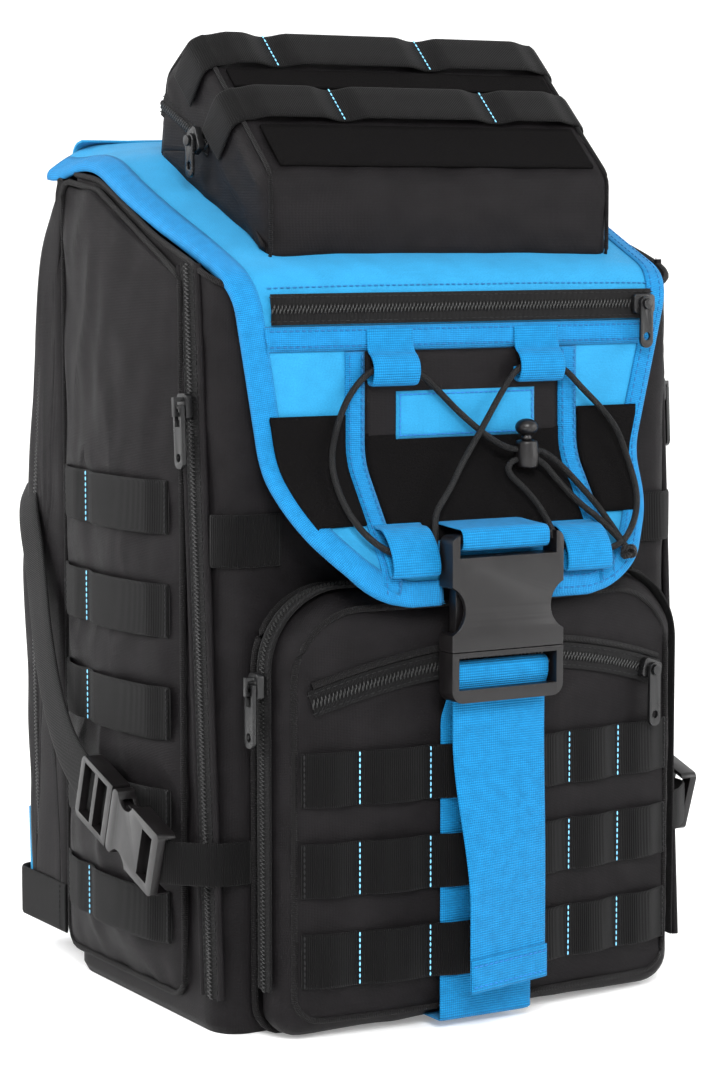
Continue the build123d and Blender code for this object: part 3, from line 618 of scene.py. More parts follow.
def settle_normals(obj):
    """Makes all the faces of a closed mesh point outwards."""
    work = bmesh.new()
    work.from_mesh(obj.data)
    bmesh.ops.recalc_face_normals(work, faces=work.faces)
    work.to_mesh(obj.data)
    work.free()


def refold(obj, folds):
    """Moves a mesh's points by folds(points, normals), both in drawing millimetres."""
    mesh = obj.data
    spots = np.zeros(len(mesh.vertices) * 3)
    mesh.vertices.foreach_get("co", spots)
    spots = spots.reshape(-1, 3) * 1000
    spots[:, 1] -= shift_y
    normals = np.array([v.normal[:] for v in mesh.vertices])
    moved = metres(folds(spots, normals))
    mesh.vertices.foreach_set("co", moved.ravel())
    mesh.update()


def rounded_rectangle(x0, x1, y0, y1, radii, step=4.0):
    """A closed outline with its own radius at each corner: low left, low right, high right, high left."""
    corners = [(x0, y0), (x1, y0), (x1, y1), (x0, y1)]
    start = ((x0 + x1) / 2, y0)
    path = rounded([start, corners[1], corners[2], corners[3], corners[0], start],
                   [radii[1], radii[2], radii[3], radii[0]], step)
    return path[:-1]


# ---- where things lie on the bag ----
lid_path = rounded(lid_profile, lid_radii, 1.5)
lid_steps = lengths_along(lid_path)
lid_tangent = directions(lid_path)
lid_right = rounded([(117, 600), (117, 350), (90, 238), (62, 199), (20, 199)], [60, 50, 40], 1.0)
lid_left = rounded([(-117, 600), (-122, 350), (-104, 240), (-68, 199), (-20, 199)], [60, 70, 46], 1.0)
lid_end = 199.2


def lid_s(z):
    """The distance along the lid's profile at a height."""
    return np.interp(-np.asarray(z, float), -lid_path[:, 1], lid_steps)


def lid_z(s):
    """The height at a distance along the lid's profile."""
    return np.interp(s, lid_steps, lid_path[:, 1])


def lid_limits(s):
    """Where the lid ends on the left and on the right, at a distance along its profile."""
    z = lid_z(s)
    spread = 6 * between(z, 350, 395)
    left = np.interp(-z, -lid_left[:, 1], lid_left[:, 0]) - spread
    return left, np.interp(-z, -lid_right[:, 1], lid_right[:, 0]) + spread


def lid_spot(x, s, off=0.0):
    """Points on the lid's outside, which is slightly crowned and droops at its edges."""
    x, s = np.broadcast_arrays(np.asarray(x, float), np.asarray(s, float))
    y, z = (np.interp(s, lid_steps, lid_path[:, k]) for k in (0, 1))
    ty, tz = (np.interp(s, lid_steps, lid_tangent[:, k]) for k in (0, 1))
    share = np.clip(np.abs(x) / lid_half, 0, 1.15)
    on_top = np.clip((z - 335) / 40, 0, 1)
    crown = (1 - np.minimum(share, 1) ** 2) * (1.2 + 2.0 * on_top) - share ** 8 * (1.0 + 2.2 * on_top)
    puff = np.vectorize(lambda a, b: noise.noise(Vector((a / 45, b / 45, 3.1))))(x, s) * (0.8 + 1.2 * on_top)
    hang = 9 * (1 - between(s, 6, 48)) * between(share, 0.86, 1.12)
    lift = off + crown + puff * (1 - np.minimum(share, 1) ** 6) - hang
    return np.stack([x, y + tz * lift, z - ty * lift], -1)


def lid_up(x, s):
    """The outward direction on the lid."""
    step = 1.0
    down = lid_spot(x, np.asarray(s) + step) - lid_spot(x, np.asarray(s) - step)
    over = lid_spot(np.asarray(x) + step, s) - lid_spot(np.asarray(x) - step, s)
    return unit(np.cross(down, over))


def roof(y):
    """The height of the lid's underside over the main compartment."""
    order = np.argsort(lid_path[:, 0])
    keep = lid_path[order][:, 1] > 340
    return np.interp(y, lid_path[order][keep, 0], lid_path[order][keep, 1]) - lid_thick - 3.0 \
        - 6 * between(y, -62, 0)


def pocket_spot(x, z, off=0.0):
    """Points on the front pocket's face."""
    x, z = np.broadcast_arrays(np.asarray(x, float), np.asarray(z, float))
    centre = pocket_face_y + face_radius
    out = np.stack([x / face_radius, -np.sqrt(1 - (x / face_radius) ** 2), np.zeros_like(x)], -1)
    reach = face_radius + np.asarray(off)[..., None]
    return np.array([0, centre, 0]) + out * reach + z[..., None] * [0, 0, 1]


def side_spot(side, y, z, off=0.0):
    """Points on a side panel; side is -1 on the left and 1 on the right."""
    y, z, off = np.broadcast_arrays(*(np.asarray(v, float) for v in (y, z, off)))
    lean = (y - side_centre_y) / side_radius
    reach = side_radius + off
    x = side * (side_centre_x + np.sqrt(1 - lean ** 2) * reach)
    return np.stack([x, side_centre_y + lean * reach, z], -1)


def between(values, low, high):
    """0 below low, 1 above high, smooth between."""
    t = np.clip((np.asarray(values, float) - low) / (high - low), 0, 1)
    return t * t * (3 - 2 * t)


def tacked(values, tacks, low, high):
    """A webbing row's height off the cloth: low at its tacks and higher between them."""
    values = np.asarray(values, float)
    near = np.min(np.abs(values[:, None] - np.array(tacks)[None, :]), 1)
    return low + (high - low) * between(near, 1.0, 13.0)


def lid_patch(name, x0, x1, z0, z1, off, thick, material, slot, replaced=(), margin=10.0):
    """A flat piece sewn to the lid, cut off at the lid's binding, with softened edges."""
    rows = np.linspace(lid_s(z1), lid_s(z0), max(4, int(abs(z1 - z0) / 2.5) + 1))
    columns = np.linspace(x0, x1, max(4, int(abs(x1 - x0) / 3) + 1))
    x, s = np.meshgrid(columns, rows)
    low, high = lid_limits(s)
    x = np.clip(x, low + margin, high - margin)
    rim = np.minimum.reduce([x - x0, x1 - x, s - rows[0], rows[-1] - s])
    points = lid_spot(x, s, off + thick - 0.7 * (rim < 0.8))[:, ::-1]
    obj = grid_piece(name, points, material, thick=thick + 0.4)
    return place_piece(obj, "lid", slot, replaced)


def zip_piece(name, path, normals, across, half, body, replaced=()):
    """A zip: its woven tape, and two interlocked rows of coil loops along its middle."""
    path, normals, across = (np.asarray(a, float) for a in (path, normals, across))
    tooth_pitch, tooth_size, tooth_lean = 0.95, (3.0, 1.0, 1.5), 0.25
    coil_spread, coil_height = 0.75, 1.7
    seam_inset, seam_height = 1.6, 1.2
    lanes = np.linspace(-half, half, 9)
    heights = [0.5 + 0.5 * math.exp(-(a / 2.5) ** 2) for a in lanes]
    points = np.stack([path + across * a + normals * h for a, h in zip(lanes, heights)], 1)
    tape = grid_piece(name, points, black_tape, thick=0.9, offset=0.0)
    place_piece(tape, body, "zip_tape", replaced)
    both = resample(np.hstack([path, normals, across]), tooth_pitch)
    spots, ups, sides = both[:, :3], unit(both[:, 3:6]), unit(both[:, 6:])
    odd = np.where(np.arange(len(spots)) % 2, 1.0, -1.0)[:, None]
    along = unit(sides + directions(spots) * tooth_lean)
    centres = spots + sides * odd * coil_spread + ups * coil_height
    coil = beads(name + "_coil", centres, along, ups, tooth_size, coil_plastic)
    place_piece(coil, body, "zip_tape")
    for word, a in (("a", -1), ("b", 1)):
        line = resample(path + across * a * (half - seam_inset) + normals * seam_height, 3.0)
        ups = unit(everywhere(normals.mean(0), line))
        seam = stitch_row(name + "_seam_" + word, line, ups, black_thread, 3.2, 2.3, 0.55)
        place_piece(seam, body, "zip_tape")


def bar_tack(name, start, end, up, body, slot, thread):
    """A tack across webbing: one line of short threads."""
    pitch, thread_size = 2.7, (2.1, 0.85, 0.6)
    line = resample(np.array([start, end], float), pitch)
    heading = unit(np.array(end, float) - start)
    piece = beads(name, line, everywhere(heading, line), everywhere(up, line), thread_size, thread)
    place_piece(piece, body, slot)


def edge_seam(name, path, radius, body="pack", material=black_binding):
    """A round bound seam along a path."""
    place_piece(tube_piece(name, path, radius, material, 8), body, "black_nylon")


# ---- main compartment ----
def main_shell():
    """The main compartment's cloth shell, with its rim under the lid."""
    outline = rounded_rectangle(-body_half, body_half, main_front, main_back, [body_corner] * 4, 4.0)
    middle = np.array([0, (main_front + main_back) / 2])
    outward = unit(np.roll(outline, -1, 0) - np.roll(outline, 1, 0))
    outward = np.stack([outward[:, 1], -outward[:, 0]], 1)
    outward *= np.sign(((outline - middle) * outward).sum(1))[:, None]
    rows = []
    tops = roof(outline[:, 1])
    for t in np.linspace(0, 1, 90):
        z = tops * t
        ring = np.column_stack([outline, z])
        inward = (1 - between(z, 0, 5)) * 2.5
        long_folds = np.abs(wander(ring / np.array([1, 1, 1.5]), 26, 2.0))
        folds = long_folds * 2.0 + np.abs(wander(ring, 11, 9.0)) * 0.5
        inward = inward + folds * between(z, 5, 25)
        ring[:, :2] -= outward * inward[:, None]
        rows.append(ring)
    level = np.zeros(len(outline))
    bottom = [np.column_stack([middle + (outline - middle) * f, level]) for f in (0.02, 0.5, 0.9)]
    points = np.array(bottom + rows)
    shell = grid_piece("main_shell_cloth", points, black_nylon, closed=True, thick=2.2)
    place_piece(shell, "pack", "black_nylon", ["main_shell"])
    rim = np.column_stack([outline, tops + 0.2])
    rim = np.vstack([rim, rim[:1]])
    edge_seam("main_shell_rim", rim, 1.4)


def rear_compartment():
    """The flat rear compartment, with its rounded rim and its soft folds."""
    profile = rounded(rear_profile, [120, 60], 6.0)
    front = np.array([(86.4, z) for z in np.arange(390, 14, -8.0)])
    outline = np.vstack([profile, front])
    outline = resample(np.vstack([outline, outline[:1]]), 5.0)[:-1]

    def folds(spots, normals):
        """Long soft folds, pressed inwards."""
        return wrinkle(spots, normals, 1.3, 30, 5.0, (1, 1, 2.2)) - normals * 1.4

    body = pillow("rear_compartment_cloth", outline, lambda a, b, h: (h, a, b), -rear_half, rear_half, 7.0,
                  black_nylon, folds=folds, rings=6, depth_rows=22)
    place_piece(body, "pack", "black_nylon", ["rear_compartment"])
    heights = np.linspace(19, 72, 24)
    flat = np.linspace(-rear_half + 1.5, rear_half - 1.5, 60)
    wide = np.concatenate([[-rear_half - 0.6], flat, [rear_half + 0.6]])
    back = np.interp(heights, profile[:, 1], profile[:, 0])
    foot = np.array([[(x, y + 2.4 - 7.0 * (abs(x) > rear_half), z) for x in wide[::-1]]
                     for y, z in zip(back, heights)])
    place_piece(grid_piece("rear_foot_panel", foot, blue_nylon, thick=1.0), "pack", "blue_nylon")
    line = rounded([(122, 60), (126, 200), (111, 320)], [200], 4.0)
    for side, label in both_sides:
        path = at_x(side * (rear_half - 1.2), line)
        normals = everywhere([float(side), 0, 0], path)
        across = over_width(normals, path)
        zip_piece(f"rear_zip_{label}", path, normals, across, 6.0, "pack",
                  once(side < 0, "rear_zip_tapes"))
        lip = path + across * 7.5 + normals * 0.4
        edge_seam(f"rear_zip_lip_{label}", lip, 1.3)


def side_panels():
    """The padded side panels with their webbing rows, tacks and edge seams."""
    corners = [(20, 12), (85, 12), (85, 391), (46, 386), (-40, 346), (-40, 12), (20, 12)]
    outline = rounded(corners, [10, 5, 20, 6, 10], 4.0)[:-1]

    def bulge(y, z):
        """The panel's belly, flatter near its lower and upper ends."""
        belly = float(side_spot(1, np.clip(y, -40, 85), 0)[0]) - 127.4
        ends = between(z, 12, 40) * (1 - between(z, roof(y) - 40, roof(y) - 2) * 0.6)
        rows = 1.3 * math.cos((z - 48.5) / 48 * 2 * math.pi) * (1 - between(z, 250, 275))
        return belly * ends - rows * float(between(y, -40, -25) * (1 - between(y, 70, 85)))

    def folds(spots, normals):
        """Creases that run between the tacked rows."""
        return wrinkle(spots, normals, 1.9, 34, 3.0, (1, 0.8, 1.8)) - normals * 1.1

    for side, label in both_sides:
        panel = pillow(f"side_panel_{label}", outline, lambda a, b, h, s=side: (s * h, a, b), 124.5, 128.6,
                       2.0, black_nylon, bulge, folds, rings=26, depth_rows=2)
        place_piece(panel, "pack", "black_nylon", once(side < 0, "side_panels"))
        rim = np.array([(side * 128.4, a, b) for a, b in np.vstack([outline, outline[:1]])])
        edge_seam(f"side_panel_seam_{label}", rim, 1.5)
        for n, z0 in enumerate((36, 84, 132, 180, 228)):
            y = np.linspace(-31, 81, 90)
            path = side_spot(side, y, z0 + row_width / 2, tacked(y, side_tacks, 1.5, 3.8))
            black_strap(f"side_row_{label}_{n}", path, upright, row_width, 1.5,
                        once(side < 0 and n == 0, "side_webbing_rows"))
            for k, tack_y in enumerate(side_tacks):
                start, end = (side_spot(side, tack_y, z0 + d, 2.6) for d in tack_ends)
                thread = pale_thread if k == 1 else black_thread
                bar_tack(f"side_tack_{label}_{n}_{k}", start, end, (side, 0, 0), "pack", "blue_webbing",
                         thread)


def side_zips():
    """The long zips down both sides of the main compartment."""
    for side, label in both_sides:
        path = resample(np.array([(side * 127.0, -66, 18), (side * 127.0, -46, 352)]), 4.0)
        normals = everywhere([float(side), 0, 0], path)
        across = over_width(normals, path)
        zip_piece(f"side_zip_{label}", path, normals, across, 7.5, "pack",
                  once(side < 0, "side_zip_tapes"))
        for word, gap in (("front", 8.6), ("rear", -8.6)):
            lip = path + across * gap * (1 if across[0, 1] < 0 else -1) + normals * 0.3
            edge_seam(f"side_zip_lip_{label}_{word}", lip, 1.8, material=black_nylon)


# ---- front pocket ----
def front_pocket():
    """The front pocket's stuffed body, its edge seams and its two zips."""
    outline = rounded_rectangle(-pocket_half, pocket_half, pocket_bottom, pocket_top,
                                [14, 14, pocket_corner, pocket_corner], 4.0)
    back, face = 73.6, 96.5
    curve_half, seam_inset = 107.0, 8.5

    def bulge(x, z):
        """The face's even curve, drawn in a little at the top and the bottom."""
        curve = -float(pocket_spot(np.clip(x, -curve_half, curve_half), 0)[1]) - face
        return curve * (0.55 + 0.45 * between(z, 6, 30) * (1 - between(z, 180, 206)))

    def folds(spots, normals):
        """Soft creases over the face and the sides."""
        return wrinkle(spots, normals, 1.2, 30, 11.0, (1.6, 1, 1)) - normals * 0.9

    body = pillow("front_pocket_cloth", outline, lambda a, b, h: (a, -h, b), back, face, 11.0, black_nylon,
                  bulge, folds, rings=30, depth_rows=8)
    place_piece(body, "pack", "black_nylon", ["front_pocket"])
    ring = np.vstack([outline, outline[:1]])
    middle = (pocket_bottom + pocket_top) / 2
    wide_share = (pocket_half - seam_inset) / pocket_half
    high_share = (pocket_top - middle - seam_inset) / (pocket_top - middle)
    inner = [(a * wide_share, (b - middle) * high_share + middle) for a, b in ring]
    rim = np.array([(a, 1.0 - face - bulge(a, b), b) for a, b in inner])
    edge_seam("front_pocket_seam", rim, 1.5)
    rear = np.array([(a, -76.0, b) for a, b in ring])
    edge_seam("front_pocket_rear_seam", rear, 1.6)
    pocket_zip()
    face_zip()


def pocket_zip():
    """The zip round the front pocket's rim."""
    half, top, corner = pocket_half + 0.2, pocket_top + 0.2, pocket_corner
    line = rounded([(-half, 24), (-half, top), (half, top), (half, 24)], [corner, corner], 3.0)
    path = np.column_stack([line[:, 0], np.full(len(line), -87.0), line[:, 1]])
    across = everywhere([0, 1.0, 0], path)
    normals = unit(np.cross(across, directions(path)))
    if normals[0, 0] > 0:
        normals = -normals
    zip_piece("pocket_zip", path, normals, across, 6.0, "pack", ["pocket_zip_tape"])


def face_zip():
    """The arched zip on the pocket's face, under its rolled lip."""
    half, foot, arch = 95, 156, 16
    x = np.linspace(-half, half, 70)
    height = foot + arch * (1 - (x / half) ** 2)
    path = pocket_spot(x, height, 0.2)
    normals = unit(pocket_spot(x, height, 1.0) - path)
    across = over_width(normals, path)
    zip_piece("face_zip", path, normals, across, 6.0, "pack", ["face_zip_tape"])
    lip = pocket_spot(x, height + 8.0, 0.6)
    edge_seam("face_zip_lip", lip, 1.6)


def front_rows():
    """The three webbing rows over the pocket and the closing strap, with their pale tacks."""
    for n, z0 in enumerate((26, 67.5, 109)):
        x = np.linspace(-100, 100, 130)
        lift = tacked(x, front_tacks, 1.5, 3.9)
        over_strap = between(x, -40, -34) * (1 - between(x, 18, 24))
        path = pocket_spot(x, z0 + row_width / 2, lift + over_strap * 0.8)
        black_strap(f"front_row_{n}", path, upright, row_width, 1.5, once(n == 0, "front_webbing_rows"))
        for k, tack_x in enumerate(front_tacks):
            up = unit(pocket_spot(tack_x, 0, 5.0) - pocket_spot(tack_x, 0))
            start, end = (pocket_spot(tack_x, z0 + d, 2.5) for d in tack_ends)
            outermost = k in (0, len(front_tacks) - 1)
            thread = black_thread if outermost else pale_thread
            bar_tack(f"front_tack_{n}_{k}", start, end, up, "pack", "blue_webbing", thread)


def closing_strap():
    """The wide blue strap: up the pocket, round the buckle's bar and down again to its hem."""
    line = rounded(strap_profile, strap_radii, 1.6)
    ripple = np.array([noise.noise(Vector((0.3, 0.7, z / 38))) for z in line[:, 1]])
    tail = np.arange(len(line)) > len(line) * 0.56
    free = between(-line[:, 1], -140, -60) * tail
    twist = 0.24
    path = np.column_stack([strap_x + ripple * 0.8 * free, line[:, 0] + ripple * 1.1 * free, line[:, 1]])
    across = everywhere(sideways, path)
    across[:, 1] = twist * free
    path[:, 0] += 2.5 * free
    path[:, 1] -= 5.0 * free
    blue_strap("closing_strap_webbing", path, across, 50, 1.2, ["closing_strap"])
    swing = path[-1] - [strap_x, -121.2, 22]
    hem = resample(np.array([(strap_x, -122.6, 37.0), (strap_x, -122.7, 21.6)]), 1.5) + swing * [1, 1, 0]
    across = (1.0, twist * free[-1], 0)
    blue_strap("closing_strap_hem", hem, across, 50.4, 1.3)
    for n, z in enumerate((24.5, 34.0)):
        reach = 23 * unit(across)
        middle = np.array([strap_x, -123.5, z]) + swing * [1, 1, 0]
        row = resample(np.array([middle - reach, middle + reach]), 3.0)
        seam = stitch_row(f"hem_stitches_{n}", row, everywhere([0, -1.0, 0], row), blue_thread)
        place_piece(seam, "pack", "blue_webbing")


# ---- compression straps and harness ----
def compression_straps():
    """The side compression straps, front stubs and upper straps."""
    for side, label in both_sides:
        path = smooth_path([(side * 121, 137.5, 242), (side * 129.2, 132, 231), (side * 133, 112, 199),
                            (side * 142, 84, 158), (side * 146, 56, 122), (side * 146, 28, 104),
                            (side * 146, 2, 97.5)], 3, 2.5)
        tangent = directions(path)
        outward = everywhere([float(side), 0, 0], path)
        across = unit(np.cross(tangent, outward))
        black_strap(f"side_strap_{label}", path, across, 25, 1.5, once(side < 0, "compression_straps"))
        stub = smooth_path([(side * 146, -44), (side * 146, -56), (side * 139, -64), (side * 128, -74.8),
                            (side * 112, -74.8)], 3, 1.5)
        path = at_height(stub, 81.0)
        black_strap(f"front_stub_{label}", path, upright, 20, 1.5)
        turn = rounded([(side * 128.2, 30), (side * 128.2, -74.2), (side * 96, -74.2)], [16], 1.5)
        turn = turn[turn[:, 1] < -64]
        path = at_height(turn, 228.0)
        black_strap(f"upper_strap_{label}", path, upright, 24, 1.6)


def strap_anchors():
    """The webbing wings at the rear bottom corners, and their tacks."""
    for side, label in both_sides:
        line = rounded([(side * 129.2, 88), (side * 129.6, 145.6), (side * 60, 145.6)], [7], 1.5)
        path = at_height(line, 28.5)
        black_strap(f"strap_anchor_{label}", path, upright, 25, 1.7, once(side < 0, "strap_anchors"))
        bar_tack(f"anchor_tack_{label}", (side * 130.6, 94, 18), (side * 130.6, 94, 39), (side, 0, 0), "pack",
                 "black_webbing", black_thread)


def back_panel():
    """The back pads and the lumbar roll, in air mesh with bound edges."""
    profile = rounded(rear_profile, [120, 60], 3.0)

    def back_y(z):
        """Where the rear compartment's back is, at a height."""
        return float(np.interp(z, profile[:, 1], profile[:, 0]))

    def pad(name, x0, x1, z0, z1, thick, replaced=()):
        """One stuffed pad on the back."""
        outline = rounded_rectangle(x0, x1, z0, z1, [14] * 4, 4.0)
        middle_x, middle_z = (x0 + x1) / 2, (z0 + z1) / 2

        def bulge(x, z):
            """The pad's crown."""
            sideways_part = 1 - ((x - middle_x) / (x1 - x0) * 2) ** 2
            return 2.2 * sideways_part * (1 - ((z - middle_z) / (z1 - z0) * 2) ** 2)

        body = pillow(name, outline, lambda a, b, h: (a, back_y(b) + h, b), -1.0, thick - 2.0, 5.0, air_mesh,
                      bulge, rings=10, depth_rows=3)
        place_piece(body, "pack", "padding_mesh", replaced)
        ring = np.vstack([outline, outline[:1]])
        rim = np.array([(a, back_y(b) + 2.0, b) for a, b in ring])
        edge_seam(name + "_edge", rim, 1.8)

    pad("back_pad_left", -96, -16, 150, 325, 12, ["back_pads"])
    pad("back_pad_right", 16, 96, 150, 325, 12)
    pad("lumbar_roll", -56, 56, 44, 140, 15)


def shoulder_pads():
    """The shoulder straps' padding, with piped edges and a webbing strip along the middle."""
    for side, label in both_sides:
        path = smooth_path([(side * 62, 124, 350), (side * 62, 130, 368), (side * 62, 145, 374),
                            (side * 62, 158, 366), (side * 64, 166, 330), (side * 67, 166, 220),
                            (side * 70, 164, 120)], 3, 4.0)
        across = everywhere(sideways, path)
        tangent = directions(path)
        across = unit(across - tangent * (across * tangent).sum(1)[:, None])
        outward = unit(np.cross(tangent, across))
        turns = np.linspace(0, 2 * math.pi, 28, endpoint=False)
        progress = np.linspace(0, 1, len(path))
        taper = np.minimum(1, 0.35 + 3.0 * np.minimum(progress, 1 - progress) ** 0.5)[:, None]
        rings = []
        for t in turns:
            a = math.copysign(abs(math.cos(t)) ** 0.5, math.cos(t)) * 29.5
            b = math.copysign(abs(math.sin(t)) ** 0.8, math.sin(t)) * 5.2
            rings.append(path + across * a + outward * b * taper)
        pad = grid_piece(f"shoulder_pad_{label}", np.stack(rings, 1), air_mesh, closed=True)
        place_piece(pad, "pack", "padding_mesh", once(side < 0, "shoulder_pads"))
        for edge_side, word in ((-1, "a"), (1, "b")):
            rim = path + across * edge_side * 29.6
            edge_seam(f"shoulder_piping_{label}_{word}", rim, 1.8)
        back = 1 if outward[len(outward) // 2, 1] > 0 else -1
        strip = path[6:] + outward[6:] * back * (5.2 * taper[6:] + 0.5)
        black_strap(f"shoulder_webbing_{label}", strip, across[6:], 25, 1.4)


def harness_webbing():
    """The lower webbing, the sternum strap and the grab handle."""
    for side, label in both_sides:
        line = rounded([(162.9, 109), (162.9, 88), (147.4, 46), (147.4, 18)], [20, 14], 1.5)
        path = at_x(side * 72.0, line)
        black_strap(f"lower_webbing_{label}", path, sideways, 24, 1.4, once(side < 0, "harness_webbing"))
        path = resample(np.array([(side * 23, 173.8, 290.0), (side * 56, 173.8, 290.0)]), 2.0)
        black_strap(f"sternum_strap_{label}", path, upright, 20, 1.5)
    line = rounded([(-25, 364), (-25, 336), (25, 336), (25, 364)], [12, 12], 1.5)
    path = np.column_stack([line[:, 0], np.interp(line[:, 1], [336, 364], [134, 127]), line[:, 1]])
    black_strap("haul_handle_webbing", path, (0, 0.97, 0.24), 18, 2.4, ["haul_handle"], "haul_handle")


def lid_hinge():
    """The lid's fabric where it runs down to its sewn edge at the top of the back."""
    line = rounded([(119.4, 366), (111, 399), (106.5, 408.6), (98, 410.4)], [8, 8], 1.5)
    x = np.linspace(-112, 112, 60)
    points = np.array([[(a, y, z) for a in x] for y, z in line])
    cloth = grid_piece("lid_hinge_cloth", points, blue_nylon, thick=1.2, offset=0.0)
    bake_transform(cloth, "pack", "lid", start=tuple(metres((0, 112, 392))), end=tuple(metres((0, 108, 406))))
    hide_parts("lid_hinge_fabric")


# ---- lid ----
def behind_buckle(spot):
    """Whether a point is in the lid's notch behind the front buckle."""
    return strap_x - 27.5 < spot[0] < strap_x + 27.5 and spot[2] < 212 and spot[1] < -90


def lid_boundary():
    """The lid's edge as (x, distance along the profile), from the left rear round to the right rear."""
    last = float(lid_s(lid_end))
    s = np.linspace(2.0, last, 160)
    low, high = lid_limits(s)
    left, right = np.column_stack([low, s]), np.column_stack([high, s])
    along_end = np.linspace(low[-1], high[-1], 40)[1:-1]
    bottom = np.column_stack([along_end, np.full(len(along_end), last)])
    return resample(np.vstack([left, bottom, right[::-1]]), 2.5)


def lid_cloth():
    """The lid's blue cloth over its top and front."""
    last = float(lid_s(lid_end))
    s = np.concatenate([np.linspace(0, last - 24, 110), np.linspace(last - 23, last, 24)])
    u = np.linspace(-1, 1, 96)
    low, high = lid_limits(s)
    x = np.where(u[None, :] < 0, -u[None, :] * (low[:, None] + 1.0), u[None, :] * (high[:, None] - 1.0))
    points = lid_spot(x, np.broadcast_to(s[:, None], x.shape))[:, ::-1]
    cloth = grid_piece("lid_cloth", points, blue_nylon, thick=3.2, keep=lambda c: not behind_buckle(c))
    place_piece(cloth, "lid", "blue_nylon", ["lid_panel"])


def lid_binding():
    """The binding that wraps the lid's edge, with its two rows of stitches. Each row is made in two halves;
    where the notch behind the buckle breaks a half, the stitches start after the break."""
    edge = lid_boundary()
    tangent = directions(edge)
    inward = np.stack([tangent[:, 1], -tangent[:, 0]], 1)
    inward *= -np.sign((inward * (edge - [0, 150])).sum(1))[:, None]
    inward = unit(np.stack([np.convolve(np.pad(inward[:, k], 3, mode="edge"), np.ones(7) / 7, "valid")
                            for k in (0, 1)], 1))
    section = [(11, 0.1), (10.8, 0.9), (8, 1.15), (4, 1.15), (1, 0.9), (-0.4, 0.0), (-0.8, -1.7),
               (-0.4, -3.6), (1, -4.4), (6, -4.5)]
    lanes = []
    for inset, off in section:
        spots = edge + inward * inset
        lanes.append(lid_spot(spots[:, 0], spots[:, 1], off))
    tape = grid_piece("lid_binding_tape", np.stack(lanes, 1), blue_binding, thick=0.5,
                      keep=lambda c: not behind_buckle(c))
    place_piece(tape, "lid", "blue_webbing", ["lid_bindings"])
    for n, inset in enumerate((8.6, 3.2)):
        spots = edge + inward * inset
        line = lid_spot(spots[:, 0], spots[:, 1], 1.25)
        line = np.array([p for p in line if not behind_buckle(p)])
        ups = lid_up(spots[:, 0], spots[:, 1])[:len(line)]
        half = len(line) // 2
        for word, part, up in (("a", line[:half], ups[:half]), ("b", line[half:], ups[half:])):
            gap = np.linalg.norm(np.diff(part, axis=0), axis=1)
            cut = int(np.argmax(gap)) + 1 if gap.max() > 20 else 0
            seam = stitch_row(f"binding_stitches_{n}_{word}", part[cut:], up[cut:], light_blue_thread)
            place_piece(seam, "lid", "blue_webbing")


def lid_stitches(name, x0, x1, z0, z1, off, thread, pitch=3.2):
    """A straight row of stitches on the lid."""
    count = 40
    x = np.linspace(x0, x1, count)
    s = np.linspace(float(lid_s(z0)), float(lid_s(z1)), count)
    line = lid_spot(x, s, off)
    place_piece(stitch_row(name, line, lid_up(x, s), thread, pitch), "lid", "blue_webbing")


def lid_front():
    """The pieces sewn to the lid's front."""
    x = np.linspace(-104, 104, 80)
    s = np.full(len(x), float(lid_s(332)))
    path = lid_spot(x, s, 0.6)
    normals = lid_up(x, s)
    across = over_width(normals, path)
    zip_piece("lid_zip", path, normals, across, 7.0, "lid", ["lid_zip_tape"])
    lid_patch("lid_band_webbing", -110, 110, 313, 324.5, 0.3, 1.3, blue_binding, "blue_webbing",
              ["lid_band"])
    for n, z in enumerate((315.2, 322.4)):
        lid_stitches(f"band_stitches_{n}", -104, 104, z, z, 1.9, light_blue_thread)
    lid_stitches("zip_hem_stitches", -103, 103, 341.5, 341.5, 0.5, light_blue_thread)
    panel_left, panel_right = panel_x - panel_half, panel_x + panel_half
    lid_patch("lid_panel_cloth", panel_left, panel_right, 272, 312.6, 0.3, 1.2, black_nylon,
              "black_cloth_panel", ["lid_centre_panel"])
    lid_patch("lid_panel_pile", panel_left, panel_right, 226, 275, 0.5, 1.4, black_pile, "black_cloth_panel")
    for side, word in both_sides:
        near, far = panel_x + side * (panel_half + 0.4), panel_x + side * (panel_half + 10.4)
        lid_patch(f"upright_binding_{word}", min(near, far), max(near, far), 204, 312.6, 0.4, 1.4,
                  blue_binding, "blue_webbing")
        for k, inset in enumerate((1.8, 8.4)):
            row = near + side * inset
            lid_stitches(f"upright_stitches_{word}_{k}", row, row, 310, 206, 2.1, light_blue_thread)
        far_edge = panel_x + side * (panel_half + 10.8)
        outer = side * 115
        lid_patch(f"side_strip_{word}", min(far_edge, outer), max(far_edge, outer), 234, 284, 1.0, 1.6,
                  black_pile, "black_cloth_panel", once(side < 0, "lid_side_strips"), margin=6.0)
    lid_patch("label_patch", -40, 36, 272, 294, 1.7, 1.0, blue_nylon, "blue_label", ["lid_label"])
    for n, z in enumerate((273.6, 292.4)):
        lid_stitches(f"label_stitches_{n}", -38, 34, z, z, 2.9, blue_thread, 2.6)
    for n, x in enumerate((-38.4, 34.4)):
        lid_stitches(f"label_ends_{n}", x, x, 291, 275, 2.9, blue_thread, 2.6)
    lower_front()
    cord_loops()


def lower_front():
    """The webbing cross band under the panel, which the buckle's loop is sewn to."""
    lid_patch("lower_band", panel_x - 52, panel_x + 52, 214, 226, 0.4, 1.3, blue_binding, "blue_webbing")
    line = rounded([(-98, 235.0), (-107, 234.4), (-117, 233.8), (-127.0, 233.4), (-127.2, 224),
                    (-110.6, 224)], [6, 10, 3, 3], 1.5)
    path = at_x(strap_x, line)
    blue_strap("buckle_loop_webbing", path, sideways, 47, 1.2, ["buckle_socket_loop"], "lid")


